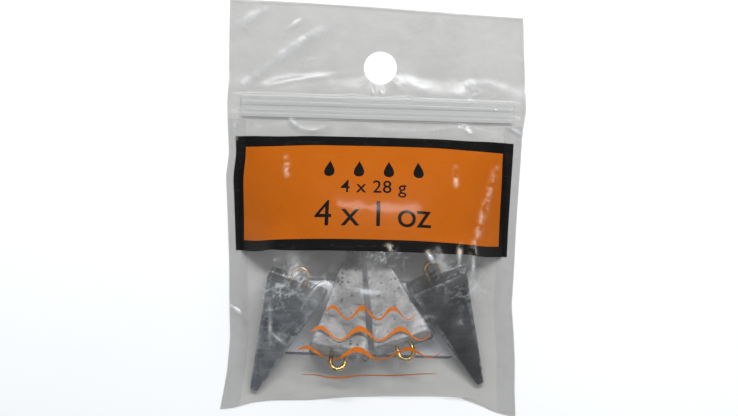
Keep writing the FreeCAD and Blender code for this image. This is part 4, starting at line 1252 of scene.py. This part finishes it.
def rule_ribbon(y, width):
    """A straight rule with pointed ends."""
    run, side = np.meshgrid(np.linspace(0, 1, 81), np.linspace(-1, 1, 3))
    along = film_row(y) + side * RULE_HALF * np.sin(np.pi * run) ** 0.3
    return np.stack([((run - 0.5) * width).ravel(), along.ravel()], axis=-1), grid_quads(3, 81)


waves = [wave_ribbon(y, width) for y, width in WAVE_ROWS]
points, faces = join_flat([*waves, rule_ribbon(RULE_ROW, RULE_WIDTH)])
printed("ink_ornament", points[:, 0], points[:, 1], faces, 0.05, ORNAMENT, "front_print")

# %% [markdown]
# ## Cast lead
# Each sinker is poured in a two-part mould. The metal is soft, so its edges wear bright,
# while its faces go dull blue-grey and keep the pits that gas left behind.
# The surface is a grid around the pyramid's axis: a square whose corners are rounded by a high power,
# shrinking from base to tip, closed by both end faces. Pits and dents only ever go inwards.

# %% Sinker surface
AROUND = 160
CORNER_POWER = 16.0
EDGE_ROUND = 0.5


def profile_rows():
    """From mid base to mid tip: height, share of the half width, and how much the rounding takes off."""
    turn = np.linspace(0, np.pi / 2, 5)
    base_face = [(0.0, share, 0.0) for share in np.linspace(0, 1, 22)]
    base_edge = [(EDGE_ROUND * (1 - math.cos(a)), 1.0, EDGE_ROUND * (1 - math.sin(a))) for a in turn[1:]]
    side = [(at, 1.0, 0.0) for at in np.linspace(EDGE_ROUND, LEAD_HEIGHT - EDGE_ROUND, 84)[1:-1]]
    tip_edge = [(LEAD_HEIGHT - EDGE_ROUND * (1 - math.sin(a)), 1.0, EDGE_ROUND * (1 - math.cos(a)))
                for a in turn]
    tip_face = [(LEAD_HEIGHT, share, 0.0) for share in np.linspace(1, 0, 5)[1:]]
    return np.array(base_face + base_edge + side + tip_edge + tip_face)


def sinker_points(place, seed):
    """Surface points, row by row from base to tip, and how worn and how hollow each of them is."""
    along, share, inset = np.split(profile_rows(), 3, axis=1)
    inset = np.where(share < 1, EDGE_ROUND, inset)
    half = LEAD_BASE / 2 - along * math.tan(TAPER)
    turn = np.linspace(0, 2 * np.pi, AROUND + 1)[:-1] + np.pi / 4
    square = np.abs(np.cos(turn)) ** CORNER_POWER + np.abs(np.sin(turn)) ** CORNER_POWER
    square = square ** (-1 / CORNER_POWER)
    radius = (half - inset) * share * square[None, :]
    x, y = radius * np.cos(turn), radius * np.sin(turn)
    local = np.stack([x, y, np.broadcast_to(along, radius.shape)], axis=-1)
    wrapped = np.concatenate([local[:, -1:], local, local[:, :1]], axis=1)
    normals = unit(np.cross(np.gradient(wrapped, axis=1), np.gradient(wrapped, axis=0)))[:, 1:-1]
    normals[:1], normals[-1:] = (0, 0, -1), (0, 0, 1)
    # Pits and dents are the peaks of a fine and of a coarse noise, and a slow ripple covers the rest.
    # Edges are worn by a bell curve of the distance from them times a slow noise, and lose their pits.
    cloud = local + seed * 31.7
    pits = np.clip(noise(cloud, 0.9, seed) - 0.62, 0, 1) * 1.1
    dents = np.clip(noise(cloud, 3.4, seed + 5) - 0.35, 0, 1) * 0.45
    ripple = 0.05 * (1 + rough_noise(cloud, 6.0, seed + 9, octaves=4))
    corner = np.exp(-(((square.max() - square) / 0.16) ** 2))[None, :]
    corner = corner * (share >= 1)
    ends = np.exp(-((along / 0.8) ** 2)) * (share > 0.93) + np.exp(-(((LEAD_HEIGHT - along) / 0.6) ** 2))
    worn = np.clip(np.maximum(corner, ends) * (0.62 + 0.30 * noise(cloud, 5.0, seed + 3)), 0, 1)
    calm = 1 - np.clip(corner + ends, 0, 1) * 0.85
    local = local - normals * (0.5 * pits * calm + 0.6 * dents * calm + ripple + 0.10 * worn)[..., None]
    axes = np.stack([place["across"], place["up"], place["along"]])
    return place["base"] + local @ axes, worn, pits + dents


print("rows from base to tip", len(profile_rows()))

# %% Lead
def lead_material(name, dull, fresh, scratches_and_sparkle):
    """Lead between a dull and a fresh colour: darker in the pits, bright along the worn edges."""
    material, tree, shader, place = new_material(name)
    grain = place_group(tree, GRAIN, place, Scale=700.0, Pits=0.45)
    cuts = place_group(tree, SCRATCHES, place, Scale=380.0, Turn=0.5, Width=0.02)
    skin = mix_colour(tree, ramp(tree, grain["Patches"], 0.35, 0.65), dull, fresh)
    skin = mix_colour(tree, math_node(tree, "MULTIPLY", grain["Pits"], 0.75), skin, srgb(38, 40, 44))
    skin = mix_colour(tree, ramp(tree, stored(tree, "hollow"), 0.05, 0.35), skin, srgb(46, 48, 52))
    bright = ramp(tree, stored(tree, "worn"), 0.25, 1.0)
    bright = math_node(tree, "MULTIPLY", bright, ramp(tree, grain["Grain"], 0.30, 0.62))
    # Scratch marks brighten by this strength; on the left lead it is raised so the marks also stand for painted
    # glints of the film over it.
    bright = add_share(tree, bright, cuts["Marks"], scratches_and_sparkle, clamp=True)
    plug_in(tree, shader, {
        "Base Color": mix_colour(tree, bright, skin, srgb(172, 176, 182)),
        "Metallic": add_share(tree, 0.35, bright, 0.5),
        "Roughness": add_share(tree, 0.62, bright, -0.25),
    })
    add_bump(tree, shader, add_share(tree, grain["Grain"], grain["Pits"], -0.9), 0.0005, 0.7)
    return material


# One lead in four brightnesses, which is painted light: the middle pair are painted lighter where their faces turn
# to the light and take the film's glare, the outer pair darker as painted shade on faces turned away.
LEADS = {
    "left": lead_material("lead_left_painted_shade", srgb(70, 74, 79), srgb(96, 99, 103), 0.16),
    "mid_left": lead_material("lead_mid_left_painted_light", srgb(120, 118, 117), srgb(158, 155, 153), 0.08),
    "mid_right": lead_material("lead_mid_right_painted_light", srgb(128, 125, 124), srgb(166, 162, 160), 0.06),
    "right": lead_material("lead_right_painted_shade", srgb(14, 17, 22), srgb(26, 29, 34), 0.03),
}
for seed, name in enumerate(SINKERS, start=2):
    points, worn, hollow = sinker_points(lying[name], seed)
    casting = new_piece(f"casting_{name}", points, grid_quads(len(points), AROUND, wrap=True), LEADS[name])
    add_attribute(casting, "worn", worn)
    add_attribute(casting, "hollow", hollow)
    close_shell(casting)
    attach(casting, f"lead_{name}")
    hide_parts(f"sinker_{name}")
    print(casting.name, "faces", len(casting.data.polygons))

# %% [markdown]
# ## Line eyes
# A bent brass wire is cast into each base. The frame already has it as a swept round wire,
# so here it only gets its finish: yellow where a finger has rubbed it, brown where it hasn't.
# The paper sticker on the back keeps the frame's shape too.

# %% Brass wire and sticker paper
def brass_material():
    """Brass wire: bright yellow that turns to brown tarnish in patches."""
    material, tree, shader, place = new_material("brass")
    grain = place_group(tree, GRAIN, place, Scale=900.0, Pits=0.2)
    lines = place_group(tree, SCRATCHES, place, Scale=1200.0, Turn=1.2, Width=0.03)
    tarnish = ramp(tree, grain["Patches"], 0.42, 0.60)
    metal = mix_colour(tree, tarnish, srgb(200, 156, 84), srgb(104, 84, 56))
    metal = mix_colour(tree, math_node(tree, "MULTIPLY", lines["Marks"], 0.4), metal, srgb(240, 214, 150))
    rough = add_share(tree, 0.22, tarnish, 0.25)
    plug_in(tree, shader, {"Base Color": metal, "Metallic": 1.0, "Roughness": rough})
    add_bump(tree, shader, grain["Grain"], 0.0002, 0.4)
    return material


def paper_material():
    """Coated paper: off-white with faint fibres, and a dark blue rim of painted shade along its edge."""
    material, tree, shader, place = new_material("paper")
    grain = place_group(tree, GRAIN, place, Scale=900.0, Pits=0.15)
    sheet = mix_colour(tree, grain["Grain"], srgb(238, 240, 246), srgb(246, 247, 250))
    sheet = mix_colour(tree, grain["Pits"], sheet, srgb(196, 202, 214))
    # Painted shade: a dark blue band along the edge, standing for the shadow of the air gap where the sticker
    # meets the film.
    rim = ramp(tree, sticker_depth(tree, place), 0.8 * MM, 0.5 * MM)
    sheet = mix_colour(tree, rim, sheet, srgb(52, 58, 92))
    plug_in(tree, shader, {"Base Color": sheet, "Roughness": 0.6})
    add_bump(tree, shader, grain["Grain"], 0.0002, 0.3)
    return material


def refinish(node, material):
    """Gives a frame node a material without touching its shape."""
    node.data.materials.clear()
    node.data.materials.append(material)


BRASS, PAPER = brass_material(), paper_material()
for name in SINKERS:
    refinish(frame["nodes"][f"eye_{name}"], BRASS)
refinish(frame["nodes"]["back_sticker"], PAPER)
print("refinished", len(SINKERS) + 1, "frame nodes")
